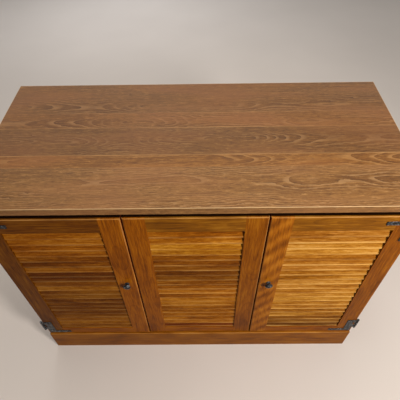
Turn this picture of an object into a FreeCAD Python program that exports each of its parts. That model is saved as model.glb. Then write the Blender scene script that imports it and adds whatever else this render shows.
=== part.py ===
# Low console cabinet with three louvred front panels under a flat laminate top.
# The two outer panels are doors on wrought-iron strap hinges; the middle panel is fixed.
#
# Row frame, millimetres: X to the right, Y from the front to the back, Z up.  The origin is on
# the floor, in the middle of the whole object's box, knobs included.  Each group of pieces is
# drawn in a corner frame of its own (top, case, door, centre panel) that its Placement sets.
import FreeCAD, Part
import os
import Sketcher

doc = FreeCAD.newDocument("louvred_cabinet")
sizes = doc.addObject("Spreadsheet::Sheet", "sizes")

SIZES = [
    ("top_width", 1016, "width of the top"),
    ("top_depth", 470, "depth of the top"),
    ("total_height", 711, "floor to the top's upper face"),
    ("core_thick", 17.4, "particle board of the top"),
    ("laminate", 0.8, "laminate on the top's two faces"),
    ("edge_band", 0.8, "laminate strip round the top's edges"),
    ("side_overhang", 20, "top past each side panel"),
    ("back_overhang", 6, "top past the back panel"),
    ("panel_thick", 19, "case boards"),
    ("back_thick", 4, "hardboard back"),
    ("back_margin", 2, "back panel in from the case's outline"),
    ("back_low", 40, "floor to the back panel's lower edge"),
    ("rail_high", 45, "rails under the top"),
    ("base_height", 94, "floor to the underside of the bottom panel"),
    ("toe_proud", 4, "toe board in front of the door faces"),
    ("post_width", 40, "front posts behind the two gaps"),
    ("block_side", 40, "corner blocks under the top, square"),
    ("block_deep", 24, "corner blocks, height"),
    ("wedge_side", 22, "glue wedges behind the toe board, legs"),
    ("wedge_long", 70, "glue wedges, length"),
    ("wedge_inset", 60, "first and last wedge in from the side panels"),
    ("wedge_count", 4, "number of glue wedges"),
    ("shelf_top", 396, "floor to the shelf's upper face"),
    ("shelf_play", 1.5, "shelf to side panels"),
    ("shelf_setback", 4, "shelf to the posts and to the back"),
    ("shelf_pin_radius", 2.5, "shelf pins"),
    ("shelf_pin_in", 11, "shelf pin inside its board"),
    ("shelf_pin_out", 13, "shelf pin under the shelf"),
    ("shelf_pin_inset", 60, "shelf pins in from the shelf's front and back"),
    ("shelf_rest", 0.1, "shelf above its pins"),
    ("dowel_radius", 4, "case dowels"),
    ("dowel_side_in", 12, "case dowel inside a side panel"),
    ("dowel_end_in", 20, "case dowel inside a rail's end"),
    ("dowel_inset", 60, "bottom panel dowels in from front and back"),
    ("fit_play", 0.05, "radial play of pins, dowels and screws in their holes"),
    ("end_play", 0.5, "empty depth past the end of a pin, dowel or screw"),
    ("door_width", 325, "each door"),
    ("door_thick", 19, "doors and centre panel"),
    ("door_proud", 5, "door faces in front of the top's edge"),
    ("bumper_gap", 1, "door backs to the case"),
    ("door_gap", 3, "doors to the centre panel"),
    ("edge_inset", 1, "doors in from the case's sides"),
    ("foot_gap", 2, "door foot above the toe board"),
    ("head_gap", 9.5, "door head below the top"),
    ("stile", 50, "upright frame members, width"),
    ("top_rail", 48, "upper rail of a panel, height"),
    ("bottom_rail", 36, "lower rail of a panel, height"),
    ("edge_round", 3, "rounding round a panel's face"),
    ("tenon_long", 26, "tenons on the panel rails"),
    ("tenon_thick", 8, "tenon thickness"),
    ("tenon_shoulder", 7, "tenon in from the rail's two edges"),
    ("tenon_play", 0.1, "tenon to mortise"),
    ("slat_width", 28, "louvre slats, across"),
    ("slat_thick", 4, "louvre slats, thickness"),
    ("slat_lean", 13, "louvre slats, degrees from upright"),
    ("slat_inset", 2, "louvre slats, noses behind the panel's face"),
    ("slat_pitch", 23.6, "spacing the slats aim at"),
    ("slat_housing", 8, "slat ends let into the stiles"),
    ("slat_play", 0.2, "slats to their housings and rails"),
    ("knob_radius", 10.5, "knob head"),
    ("knob_reach", 15, "knob in front of the door face"),
    ("knob_neck", 4.2, "knob neck, radius"),
    ("knob_foot", 6.5, "knob foot, radius"),
    ("knob_foot_thick", 1.6, "knob foot, thickness"),
    ("knob_rim", 2.4, "knob head, straight rim"),
    ("knob_dome", 4.2, "knob head, height of its dome"),
    ("knob_height", 410, "floor to the knob centre"),
    ("knob_screw_radius", 2, "knob screw"),
    ("knob_screw_bite", 8, "knob screw inside the knob"),
    ("knob_head_radius", 4.5, "knob screw head"),
    ("knob_head_thick", 2, "knob screw head"),
    ("leaf_thick", 1.6, "hinge plates"),
    ("leaf_inset", 6, "door plate in from the door's outer edge"),
    ("leaf_width", 21, "upright arm of a door plate"),
    ("leaf_height", 72, "upright arm of a door plate"),
    ("strap_length", 68, "level arm of a door plate"),
    ("strap_height", 12, "level arm of a door plate"),
    ("plate_round", 1.5, "corners of the hinge plates"),
    ("hinge_foot", 10, "lower strap above the door's foot"),
    ("hinge_head", 16, "upper strap below the door's head"),
    ("barrel_radius", 3.5, "hinge barrel"),
    ("barrel_height", 48, "hinge barrel"),
    ("barrel_out", 4, "hinge axis outside the door's edge"),
    ("knuckle_play", 0.3, "between knuckles"),
    ("barrel_play", 0.4, "barrel to plates that pass it"),
    ("case_leaf_reach", 26, "case plate on the side panel"),
    ("hinge_pin_radius", 1.6, "hinge pin"),
    ("pin_tip_radius", 3, "button on each end of a hinge pin"),
    ("pin_tip_height", 5, "button on each end of a hinge pin"),
    ("hinge_screw_radius", 1.3, "hinge screws"),
    ("hinge_screw_bite", 11, "hinge screw in the wood"),
    ("hinge_head_radius", 2.8, "hinge screw head"),
    ("hinge_head_thick", 1.3, "hinge screw head"),
    ("plate_screw_edge", 9, "plate screws in from the plate's ends"),
    ("case_screw_spread", 26, "between the two screws of a case plate"),
    ("catch_width", 40, "magnetic catch"),
    ("catch_deep", 16, "magnetic catch"),
    ("catch_high", 13, "magnetic catch"),
    ("catch_in", 26, "catch centre in from the lock stile"),
    ("catch_air", 0.3, "magnet to strike"),
    ("magnet_width", 30, "magnet"),
    ("magnet_deep", 9, "magnet"),
    ("magnet_high", 6, "magnet"),
    ("strike_width", 34, "strike plate"),
    ("strike_high", 11, "strike plate"),
    ("strike_thick", 1, "strike plate"),
    ("prong_radius", 1.4, "prong of the strike plate, screws of the catch"),
    ("prong_long", 9, "prong of the strike plate, screws of the catch"),
    ("panel_screw_radius", 2, "screws that hold the centre panel and the top"),
    ("panel_screw_bite", 12, "the same screws in the piece they hold"),
    ("panel_head_radius", 4, "their heads"),
    ("panel_head_thick", 2.2, "their heads"),
    ("panel_screw_end", 90, "centre panel screws in from a post's ends"),
    ("nail_radius", 0.8, "back panel nails"),
    ("nail_long", 16, "back panel nails in the wood"),
    ("nail_head_radius", 2.4, "their heads"),
    ("nail_head_thick", 0.8, "their heads"),
    ("nail_margin", 70, "first and last nail in from the panel's ends"),
]

for row, (alias, value, meaning) in enumerate(SIZES, 1):
    sizes.set(f"A{row}", meaning)
    sizes.set(f"B{row}", str(value))
    sizes.setAlias(f"B{row}", alias)
doc.recompute()

# ---- places worked out from the sizes, as expressions ----------------------------------------

TOP_THICK = "(sizes.core_thick + 2 * sizes.laminate)"
SETBACK = "(sizes.door_thick + sizes.bumper_gap - sizes.door_proud)"
FRONT_Y = "((sizes.door_proud + sizes.knob_reach - sizes.top_depth) / 2)"
CASE_WIDTH = "(sizes.top_width - 2 * sizes.side_overhang)"
CASE_HEIGHT = f"(sizes.total_height - {TOP_THICK})"
SIDE_DEPTH = f"(sizes.top_depth - {SETBACK} - sizes.back_overhang - sizes.back_thick)"
INNER_WIDTH = f"({CASE_WIDTH} - 2 * sizes.panel_thick)"
TOE_THICK = "(sizes.door_thick + sizes.bumper_gap + sizes.toe_proud)"
FLOOR_TOP = "(sizes.base_height + sizes.panel_thick)"
RAIL_LOW = f"({CASE_HEIGHT} - sizes.rail_high)"
GAP_CENTRE = "(sizes.edge_inset + sizes.door_width + sizes.door_gap / 2)"
CENTRE_WIDTH = f"({CASE_WIDTH} - 2 * {GAP_CENTRE} - sizes.door_gap)"
DOOR_FOOT = "(sizes.base_height + sizes.foot_gap)"
PANEL_HEIGHT = f"({CASE_HEIGHT} - sizes.head_gap - {DOOR_FOOT})"
OPENING = f"({PANEL_HEIGHT} - sizes.top_rail - sizes.bottom_rail)"
SLAT_HALF = "((sizes.slat_width - sizes.slat_thick) / 2)"
SLAT_RISE = f"(2 * {SLAT_HALF} * cos(sizes.slat_lean) + sizes.slat_thick)"
SLAT_TRAVEL = f"({OPENING} - {SLAT_RISE} - 2 * sizes.slat_play)"
SLAT_COUNT = f"(round({SLAT_TRAVEL} / sizes.slat_pitch) + 1)"
AXIS_Y = "(-sizes.leaf_thick / 2)"
KNUCKLE = "(sizes.barrel_height / 3)"
SHELF_UNDER = "(sizes.shelf_top - sizes.panel_thick)"
SHELF_PIN_Z = f"({SHELF_UNDER} - sizes.shelf_rest - sizes.shelf_pin_radius)"
CATCH_X = "(sizes.door_width - sizes.stile - sizes.catch_in)"
CATCH_Z = f"({RAIL_LOW} - sizes.catch_high / 2)"
POST_SCREW = "((sizes.post_width + sizes.door_gap) / 4)"

TOP_FRAME = ("-sizes.top_width / 2", FRONT_Y, f"sizes.total_height - {TOP_THICK}")
CASE_FRAME = (f"-{CASE_WIDTH} / 2", f"{FRONT_Y} + {SETBACK}", "0")
DOOR_Y = f"{FRONT_Y} - sizes.door_proud"
DOOR_FRAMES = {
    "left": (f"-{CASE_WIDTH} / 2 + sizes.edge_inset", DOOR_Y, DOOR_FOOT),
    "right": (f"{CASE_WIDTH} / 2 - sizes.edge_inset - sizes.door_width", DOOR_Y, DOOR_FOOT),
}
CENTRE_FRAME = (f"-{CENTRE_WIDTH} / 2", f"{DOOR_Y} + sizes.bumper_gap", DOOR_FOOT)


def number(expression):
    """The value that an expression has with the sheet's present sizes."""
    return float(sizes.evalExpression(str(expression)))


# ---- ways of making a piece ------------------------------------------------------------------

# Each axis: the origin plane across it, the way that plane's normal points along it.
PLANES = {"x": ("YZ_Plane", 1), "y": ("XZ_Plane", -1), "z": ("XY_Plane", 1)}


def new_piece(name, frame):
    """An empty body with its own label, placed by the three expressions of its frame."""
    body = doc.addObject("PartDesign::Body", name)
    body.Label = name
    for coordinate, expression in zip("xyz", frame):
        body.setExpression(f"Placement.Base.{coordinate}", expression)
    return body


def origin_feature(body, role):
    return next(item for item in body.Origin.OriginFeatures if item.Role == role)


def new_sketch(body, axis, at="0"):
    """A sketch across an axis of the body, at a place along that axis."""
    role, sense = PLANES[axis]
    sketch = body.newObject("Sketcher::SketchObject", f"{body.Name}_sketch")
    sketch.AttachmentSupport = [(origin_feature(body, role), "")]
    sketch.MapMode = "FlatFace"
    sketch.setExpression("AttachmentOffset.Base.z", f"{sense} * ({at})")
    return sketch


def dimension(sketch, kind, places, expression):
    """A driving dimension whose value follows an expression."""
    constraint = sketch.addConstraint(Sketcher.Constraint(kind, *places, number(expression)))
    sketch.setExpression(f"Constraints[{constraint}]", expression)


def place_point(sketch, geometry, end, across, up):
    """Hold one point of a sketch at a place measured from the sketch's origin."""
    for kind, expression, axis_line in (("DistanceX", across, -2), ("DistanceY", up, -1)):
        if expression == "0":
            sketch.addConstraint(Sketcher.Constraint("PointOnObject", geometry, end, axis_line))
        else:
            dimension(sketch, kind, (-1, 1, geometry, end), expression)


def outline(sketch, corners):
    """A closed outline of straight lines through corners given as pairs of expressions."""
    points = [FreeCAD.Vector(number(across), number(up), 0) for across, up in corners]
    first = sketch.GeometryCount
    count = len(points)
    for index in range(count):
        sketch.addGeometry(Part.LineSegment(points[index], points[(index + 1) % count]))
    for index in range(count):
        following = first + (index + 1) % count
        sketch.addConstraint(Sketcher.Constraint("Coincident", first + index, 2, following, 1))
    for index, (across, up) in enumerate(corners):
        place_point(sketch, first + index, 1, across, up)


def rectangle(sketch, left, low, width, height):
    right = f"{left} + {width}"
    upper = f"{low} + {height}"
    outline(sketch, [(left, low), (right, low), (right, upper), (left, upper)])


def circle(sketch, across, up, radius):
    centre = FreeCAD.Vector(number(across), number(up), 0)
    made = sketch.addGeometry(Part.Circle(centre, FreeCAD.Vector(0, 0, 1), number(radius)))
    dimension(sketch, "Radius", (made,), radius)
    place_point(sketch, made, 3, across, up)


def slot_outline(sketch, centre_y, centre_z, radius):
    """The section of a slat: round-edged, leaning, its lower edge towards the front."""
    half = number(SLAT_HALF)
    lean = number("sizes.slat_lean")
    middle = FreeCAD.Vector(number(centre_y), number(centre_z), 0)
    turn = FreeCAD.Rotation(FreeCAD.Vector(0, 0, 1), -lean)
    along = turn.multVec(FreeCAD.Vector(0, half, 0))
    aside = turn.multVec(FreeCAD.Vector(number(radius), 0, 0))
    upper = middle + along
    lower = middle - along
    beyond = along.normalize() * number(radius)
    right = sketch.addGeometry(Part.LineSegment(lower + aside, upper + aside))
    cap = sketch.addGeometry(Part.Arc(upper + aside, upper + beyond, upper - aside))
    left = sketch.addGeometry(Part.LineSegment(upper - aside, lower - aside))
    nose = sketch.addGeometry(Part.Arc(lower - aside, lower - beyond, lower + aside))
    for before, after in ((right, cap), (cap, left), (left, nose), (nose, right)):
        sketch.addConstraint(Sketcher.Constraint("Tangent", before, 2, after, 1))
    dimension(sketch, "Radius", (cap,), radius)
    sketch.addConstraint(Sketcher.Constraint("Equal", cap, nose))
    for arc, sense in ((cap, "+"), (nose, "-")):
        across = f"{centre_y} {sense} {SLAT_HALF} * sin(sizes.slat_lean)"
        up = f"{centre_z} {sense} {SLAT_HALF} * cos(sizes.slat_lean)"
        place_point(sketch, arc, 3, across, up)


def add(body, sketch, axis, length, towards=1):
    """Pad a sketch along its axis, the positive way unless towards is -1."""
    feature = body.newObject("PartDesign::Pad", f"{body.Name}_pad")
    feature.Profile = sketch
    feature.setExpression("Length", length)
    feature.Reversed = PLANES[axis][1] * towards < 0
    return feature


def cut(body, sketch, axis, length, towards=1):
    """Pocket a sketch along its axis, the positive way unless towards is -1."""
    feature = body.newObject("PartDesign::Pocket", f"{body.Name}_pocket")
    feature.Profile = sketch
    feature.setExpression("Length", length)
    feature.Reversed = PLANES[axis][1] * towards > 0
    return feature


def add_box(body, low, size):
    """A block between its low corner and its size, each three expressions."""
    sketch = new_sketch(body, "z", low[2])
    rectangle(sketch, low[0], low[1], size[0], size[1])
    return add(body, sketch, "z", size[2])


def add_rods(body, axis, at, length, radius, centres, towards=1):
    """Round rods side by side along one axis, from the place at."""
    sketch = new_sketch(body, axis, at)
    for across, up in centres:
        circle(sketch, across, up, radius)
    return add(body, sketch, axis, length, towards)


def drill(body, axis, at, depth, radius, centres, towards=1):
    """Round holes side by side along one axis, into the body from the place at."""
    sketch = new_sketch(body, axis, at)
    for across, up in centres:
        circle(sketch, across, up, radius)
    return cut(body, sketch, axis, depth, towards)


def round_edges(body, radius, chosen):
    """Fillet the edges of the latest feature whose middle point is chosen."""
    doc.recompute()
    last = body.Tip
    names = [f"Edge{index}" for index, edge in enumerate(last.Shape.Edges, 1)
             if chosen(edge.CenterOfMass)]
    feature = body.newObject("PartDesign::Fillet", f"{body.Name}_fillet")
    feature.Base = (last, names)
    feature.setExpression("Radius", radius)
    return feature


def repeat(body, feature, role, length, count):
    """Repeat the latest feature in a row along one of the body's axes."""
    pattern = body.newObject("PartDesign::LinearPattern", f"{body.Name}_row")
    pattern.Originals = [feature]
    pattern.Direction = (origin_feature(body, role), [""])
    pattern.setExpression("Length", length)
    pattern.setExpression("Occurrences", count)
    body.Tip = pattern
    return pattern


def near(value, expression):
    return abs(value - number(expression)) < 0.01


def board(name, frame, low, size):
    body = new_piece(name, frame)
    add_box(body, low, size)
    return body


def screws(name, frame, axis, seat, centres, shank, head, towards=1):
    """Dome-headed screws: shank and head are (radius, length), the head behind the seat."""
    body = new_piece(name, frame)
    add_rods(body, axis, seat, shank[1], shank[0], centres, towards)
    add_rods(body, axis, seat, head[1], head[0], centres, -towards)
    crown = number(seat) - towards * number(head[1])
    index = "xyz".index(axis)
    round_edges(body, f"0.8 * {head[1]}", lambda middle: abs(middle[index] - crown) < 0.01)
    return body


# ---- the top ---------------------------------------------------------------------------------

BAND = "sizes.edge_band"
CORE_X = f"(sizes.top_width - 2 * {BAND})"
CORE_Y = f"(sizes.top_depth - 2 * {BAND})"
BAND_HIGH = "(sizes.core_thick + sizes.laminate)"
BLOCK_SPOTS = [(f"(sizes.panel_thick + sizes.block_side / 2)",
                f"(sizes.panel_thick + sizes.block_side / 2)"),
               (f"({CASE_WIDTH} - sizes.panel_thick - sizes.block_side / 2)",
                f"(sizes.panel_thick + sizes.block_side / 2)"),
               (f"(sizes.panel_thick + sizes.block_side / 2)",
                f"({SIDE_DEPTH} - sizes.panel_thick - sizes.block_side / 2)"),
               (f"({CASE_WIDTH} - sizes.panel_thick - sizes.block_side / 2)",
                f"({SIDE_DEPTH} - sizes.panel_thick - sizes.block_side / 2)")]
PANEL_HOLE = "sizes.panel_screw_radius + sizes.fit_play"


def make_top():
    """Particle board with laminate on both faces and laminate strips round its edges."""
    spots = [(f"{across} + sizes.side_overhang", f"{along} + {SETBACK}")
             for across, along in BLOCK_SPOTS]
    backer = board("top_backer", TOP_FRAME, (BAND, BAND, "0"), (CORE_X, CORE_Y, "sizes.laminate"))
    drill(backer, "z", "0", "sizes.laminate", PANEL_HOLE, spots)
    core = board("top_core", TOP_FRAME, (BAND, BAND, "sizes.laminate"),
                 (CORE_X, CORE_Y, "sizes.core_thick"))
    drill(core, "z", "sizes.laminate",
          "sizes.panel_screw_bite - sizes.laminate + sizes.end_play", PANEL_HOLE, spots)
    for name, along in (("top_edge_front", "0"), ("top_edge_back", f"sizes.top_depth - {BAND}")):
        board(name, TOP_FRAME, ("0", along, "0"), ("sizes.top_width", BAND, BAND_HIGH))
    for name, across in (("top_edge_left", "0"), ("top_edge_right", f"sizes.top_width - {BAND}")):
        board(name, TOP_FRAME, (across, BAND, "0"), (BAND, CORE_Y, BAND_HIGH))
    sheet = board("top_laminate", TOP_FRAME, ("0", "0", BAND_HIGH),
                  ("sizes.top_width", "sizes.top_depth", "sizes.laminate"))
    round_edges(sheet, "sizes.laminate / 2", lambda middle: near(middle.z, TOP_THICK))


# ---- the case --------------------------------------------------------------------------------

BOARD = "sizes.panel_thick"
DOWEL_HOLE = "sizes.dowel_radius + sizes.fit_play"
SHELF_PIN_HOLE = "sizes.shelf_pin_radius + sizes.fit_play"
REAR_Y = f"({SIDE_DEPTH} - {BOARD})"
DOWELS = {
    "bottom_panel": [("sizes.dowel_inset", f"sizes.base_height + {BOARD} / 2"),
                     (f"{SIDE_DEPTH} - sizes.dowel_inset", f"sizes.base_height + {BOARD} / 2")],
    "top_front_rail": [(f"{BOARD} / 2", f"{CASE_HEIGHT} - sizes.rail_high / 2")],
    "top_back_rail": [(f"{REAR_Y} + {BOARD} / 2", f"{CASE_HEIGHT} - sizes.rail_high / 2")],
    "rear_base_rail": [(f"{REAR_Y} + {BOARD} / 2", "sizes.base_height / 2")],
}
ALL_DOWELS = [spot for spots in DOWELS.values() for spot in spots]
SHELF_FRONT = f"({BOARD} + sizes.shelf_setback)"
SHELF_BACK = f"({SIDE_DEPTH} - sizes.shelf_setback)"
SIDE_PINS = [(f"{SHELF_FRONT} + sizes.shelf_pin_inset", SHELF_PIN_Z),
             (f"{SHELF_BACK} - sizes.shelf_pin_inset", SHELF_PIN_Z)]
POST_CENTRES = {"left": GAP_CENTRE, "right": f"({CASE_WIDTH} - {GAP_CENTRE})"}
POST_SCREWS = {
    side: [(f"{POST_CENTRES[side]} {sense} {POST_SCREW}", height)
           for height in (f"{FLOOR_TOP} + sizes.panel_screw_end",
                          f"{RAIL_LOW} - sizes.panel_screw_end")]
    for side, sense in (("left", "+"), ("right", "-"))
}
HINGE_Z = {
    "lower": f"({DOOR_FOOT} + sizes.hinge_foot + sizes.leaf_height - sizes.barrel_height / 2)",
    "upper": (f"({DOOR_FOOT} + {PANEL_HEIGHT} - sizes.hinge_head - sizes.leaf_height"
              " + sizes.barrel_height / 2)"),
}
CASE_SCREWS = [("sizes.case_leaf_reach / 2", f"{HINGE_Z[end]} {sense} sizes.case_screw_spread / 2")
               for end in ("lower", "upper") for sense in ("-", "+")]
CATCH_CENTRES = {"left": f"(sizes.edge_inset + {CATCH_X})",
                 "right": f"({CASE_WIDTH} - sizes.edge_inset - {CATCH_X})"}


def nail_spots():
    """Nails round the back panel: two columns into the sides, two rows into cross boards."""
    column_low = "(sizes.back_low + sizes.nail_margin)"
    column_step = f"(({CASE_HEIGHT} - sizes.back_low - 2 * sizes.nail_margin) / 4)"
    sides = [(across, f"{column_low} + {index} * {column_step}")
             for across in (f"{BOARD} / 2", f"{CASE_WIDTH} - {BOARD} / 2") for index in range(5)]
    row_step = f"({CASE_WIDTH} / 4)"
    rail = [(f"{index} * {row_step}", f"{CASE_HEIGHT} - sizes.rail_high / 2")
            for index in range(1, 4)]
    floor = [(f"{index} * {row_step}", f"sizes.base_height + {BOARD} / 2")
             for index in range(1, 4)]
    return {"sides": sides, "top_back_rail": rail, "bottom_panel": floor}


NAIL_HOLE = "sizes.nail_radius + sizes.fit_play"
NAIL_DEPTH = "sizes.nail_long + sizes.end_play"


def make_side_panels():
    """Veneered boards that stand on the floor and carry everything else."""
    nails = nail_spots()["sides"]
    for side in ("left", "right"):
        left = side == "left"
        low = "0" if left else f"({CASE_WIDTH} - {BOARD})"
        inner = BOARD if left else low
        outer = "0" if left else CASE_WIDTH
        inward = 1 if left else -1
        body = board(f"{side}_side_panel", CASE_FRAME, (low, "0", "0"),
                     (BOARD, SIDE_DEPTH, CASE_HEIGHT))
        drill(body, "x", inner, "sizes.dowel_side_in + sizes.end_play", DOWEL_HOLE,
              ALL_DOWELS, -inward)
        drill(body, "x", inner, "sizes.shelf_pin_in + sizes.end_play", SHELF_PIN_HOLE,
              SIDE_PINS, -inward)
        drill(body, "x", outer, "sizes.hinge_screw_bite + sizes.end_play",
              "sizes.hinge_screw_radius + sizes.fit_play", CASE_SCREWS, inward)
        own_nails = nails[:5] if left else nails[5:]
        drill(body, "y", SIDE_DEPTH, NAIL_DEPTH, NAIL_HOLE, own_nails, -1)


def make_cross_boards():
    """Bottom panel, rails and posts between the side panels, all doweled in."""
    boards = {
        "bottom_panel": ("0", SIDE_DEPTH, "sizes.base_height", BOARD),
        "top_front_rail": ("0", BOARD, RAIL_LOW, "sizes.rail_high"),
        "top_back_rail": (REAR_Y, BOARD, RAIL_LOW, "sizes.rail_high"),
        "rear_base_rail": (REAR_Y, BOARD, "0", "sizes.base_height"),
    }
    nails = nail_spots()
    for name, (along, deep, low, high) in boards.items():
        body = board(name, CASE_FRAME, (BOARD, along, low), (INNER_WIDTH, deep, high))
        depth = "sizes.dowel_end_in + sizes.end_play"
        drill(body, "x", BOARD, depth, DOWEL_HOLE, DOWELS[name])
        drill(body, "x", f"{CASE_WIDTH} - {BOARD}", depth, DOWEL_HOLE, DOWELS[name], -1)
        if name in nails:
            drill(body, "y", SIDE_DEPTH, NAIL_DEPTH, NAIL_HOLE, nails[name], -1)
        if name == "top_front_rail":
            catch_holes = [(spot, f"{BOARD} / 2") for spot in catch_screw_spots()]
            drill(body, "z", RAIL_LOW, "sizes.prong_long + sizes.end_play",
                  "sizes.prong_radius + sizes.fit_play", catch_holes)
    for side, centre in POST_CENTRES.items():
        body = board(f"{side}_post", CASE_FRAME,
                     (f"{centre} - sizes.post_width / 2", "0", FLOOR_TOP),
                     ("sizes.post_width", BOARD, f"({RAIL_LOW} - {FLOOR_TOP})"))
        drill(body, "y", "0", BOARD, PANEL_HOLE, POST_SCREWS[side])
        drill(body, "y", BOARD, "sizes.shelf_pin_in + sizes.end_play", SHELF_PIN_HOLE,
              [(centre, SHELF_PIN_Z)], -1)


def make_case_dowels():
    body = new_piece("case_dowels", CASE_FRAME)
    length = "sizes.dowel_side_in + sizes.dowel_end_in"
    add_rods(body, "x", f"{BOARD} - sizes.dowel_side_in", length, "sizes.dowel_radius", ALL_DOWELS)
    add_rods(body, "x", f"{CASE_WIDTH} - {BOARD} + sizes.dowel_side_in", length,
             "sizes.dowel_radius", ALL_DOWELS, -1)


def make_base():
    """The toe board across the front, with glue wedges between it and the bottom panel."""
    toe = board("toe_board", CASE_FRAME, ("0", f"-{TOE_THICK}", "0"),
                (CASE_WIDTH, TOE_THICK, "sizes.base_height"))
    front = f"-{TOE_THICK}"

    def seen(middle):
        upper = near(middle.z, "sizes.base_height") and not near(middle.y, "0")
        return upper or (near(middle.y, front) and not near(middle.z, "0"))

    round_edges(toe, "sizes.edge_round", seen)
    wedges = new_piece("glue_wedges", CASE_FRAME)
    start = f"({BOARD} + sizes.wedge_inset)"
    sketch = new_sketch(wedges, "x", start)
    outline(sketch, [("0", "sizes.base_height"), ("0", "sizes.base_height - sizes.wedge_side"),
                     ("sizes.wedge_side", "sizes.base_height")])
    wedge = add(wedges, sketch, "x", "sizes.wedge_long")
    repeat(wedges, wedge, "X_Axis", f"{CASE_WIDTH} - 2 * {start} - sizes.wedge_long",
           "sizes.wedge_count")


def make_corner_blocks():
    """Blocks in the four corners under the top, each with a screw up into the top."""
    blocks = new_piece("corner_blocks", CASE_FRAME)
    low = f"({CASE_HEIGHT} - sizes.block_deep)"
    for across, along in BLOCK_SPOTS:
        add_box(blocks, (f"{across} - sizes.block_side / 2", f"{along} - sizes.block_side / 2", low),
                ("sizes.block_side", "sizes.block_side", "sizes.block_deep"))
    drill(blocks, "z", low, "sizes.block_deep", PANEL_HOLE, BLOCK_SPOTS)
    screws("top_screws", CASE_FRAME, "z", low, BLOCK_SPOTS,
           ("sizes.panel_screw_radius", "sizes.block_deep + sizes.panel_screw_bite"),
           ("sizes.panel_head_radius", "sizes.panel_head_thick"))


def make_back():
    """Thin hardboard nailed over the back edges of the case."""
    spots = [spot for group in nail_spots().values() for spot in group]
    body = board("back_panel", CASE_FRAME, ("sizes.back_margin", SIDE_DEPTH, "sizes.back_low"),
                 (f"({CASE_WIDTH} - 2 * sizes.back_margin)", "sizes.back_thick",
                  f"({CASE_HEIGHT} - sizes.back_low - sizes.back_margin)"))
    drill(body, "y", SIDE_DEPTH, "sizes.back_thick", NAIL_HOLE, spots)
    screws("back_nails", CASE_FRAME, "y", f"({SIDE_DEPTH} + sizes.back_thick)", spots,
           ("sizes.nail_radius", "sizes.back_thick + sizes.nail_long"),
           ("sizes.nail_head_radius", "sizes.nail_head_thick"), -1)


def make_shelf():
    """One loose shelf on six pins: two in each side panel and one in each post."""
    board("shelf", CASE_FRAME, (f"({BOARD} + sizes.shelf_play)", SHELF_FRONT, SHELF_UNDER),
          (f"({INNER_WIDTH} - 2 * sizes.shelf_play)", f"({SHELF_BACK} - {SHELF_FRONT})", BOARD))
    pins = new_piece("shelf_pins", CASE_FRAME)
    length = "sizes.shelf_pin_in + sizes.shelf_pin_out"
    add_rods(pins, "x", f"{BOARD} - sizes.shelf_pin_in", length, "sizes.shelf_pin_radius",
             SIDE_PINS)
    add_rods(pins, "x", f"{CASE_WIDTH} - {BOARD} + sizes.shelf_pin_in", length,
             "sizes.shelf_pin_radius", SIDE_PINS, -1)
    add_rods(pins, "y", f"{BOARD} - sizes.shelf_pin_in", length, "sizes.shelf_pin_radius",
             [(centre, SHELF_PIN_Z) for centre in POST_CENTRES.values()])


# ---- catches ---------------------------------------------------------------------------------

def catch_screw_spots():
    """Places across the case of the two screws of each catch."""
    return [f"{centre} {sense} (sizes.magnet_width / 2 + sizes.prong_radius + 1)"
            for centre in CATCH_CENTRES.values() for sense in ("-", "+")]


def make_catches():
    """Moulded catches under the front rail, each with a magnet that faces the door's strike."""
    bodies = new_piece("catch_bodies", CASE_FRAME)
    magnets = new_piece("catch_magnets", CASE_FRAME)
    low = f"({RAIL_LOW} - sizes.catch_high)"
    magnet_low = f"({CATCH_Z} - sizes.magnet_high / 2)"
    for centre in CATCH_CENTRES.values():
        add_box(bodies, (f"{centre} - sizes.catch_width / 2", "sizes.catch_air", low),
                ("sizes.catch_width", "sizes.catch_deep", "sizes.catch_high"))
        add_box(magnets, (f"{centre} - sizes.magnet_width / 2", "sizes.catch_air", magnet_low),
                ("sizes.magnet_width", "sizes.magnet_deep", "sizes.magnet_high"))
        sketch = new_sketch(bodies, "y", "sizes.catch_air")
        rectangle(sketch, f"({centre} - sizes.magnet_width / 2)", magnet_low,
                  "sizes.magnet_width", "sizes.magnet_high")
        cut(bodies, sketch, "y", "sizes.magnet_deep")
    spots = [(spot, f"{BOARD} / 2") for spot in catch_screw_spots()]
    drill(bodies, "z", low, "sizes.catch_high", "sizes.prong_radius + sizes.fit_play", spots)
    screws("catch_screws", CASE_FRAME, "z", low, spots,
           ("sizes.prong_radius", "sizes.catch_high + sizes.prong_long"),
           ("2 * sizes.prong_radius", "sizes.prong_radius"))


# ---- louvred panels --------------------------------------------------------------------------

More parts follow.
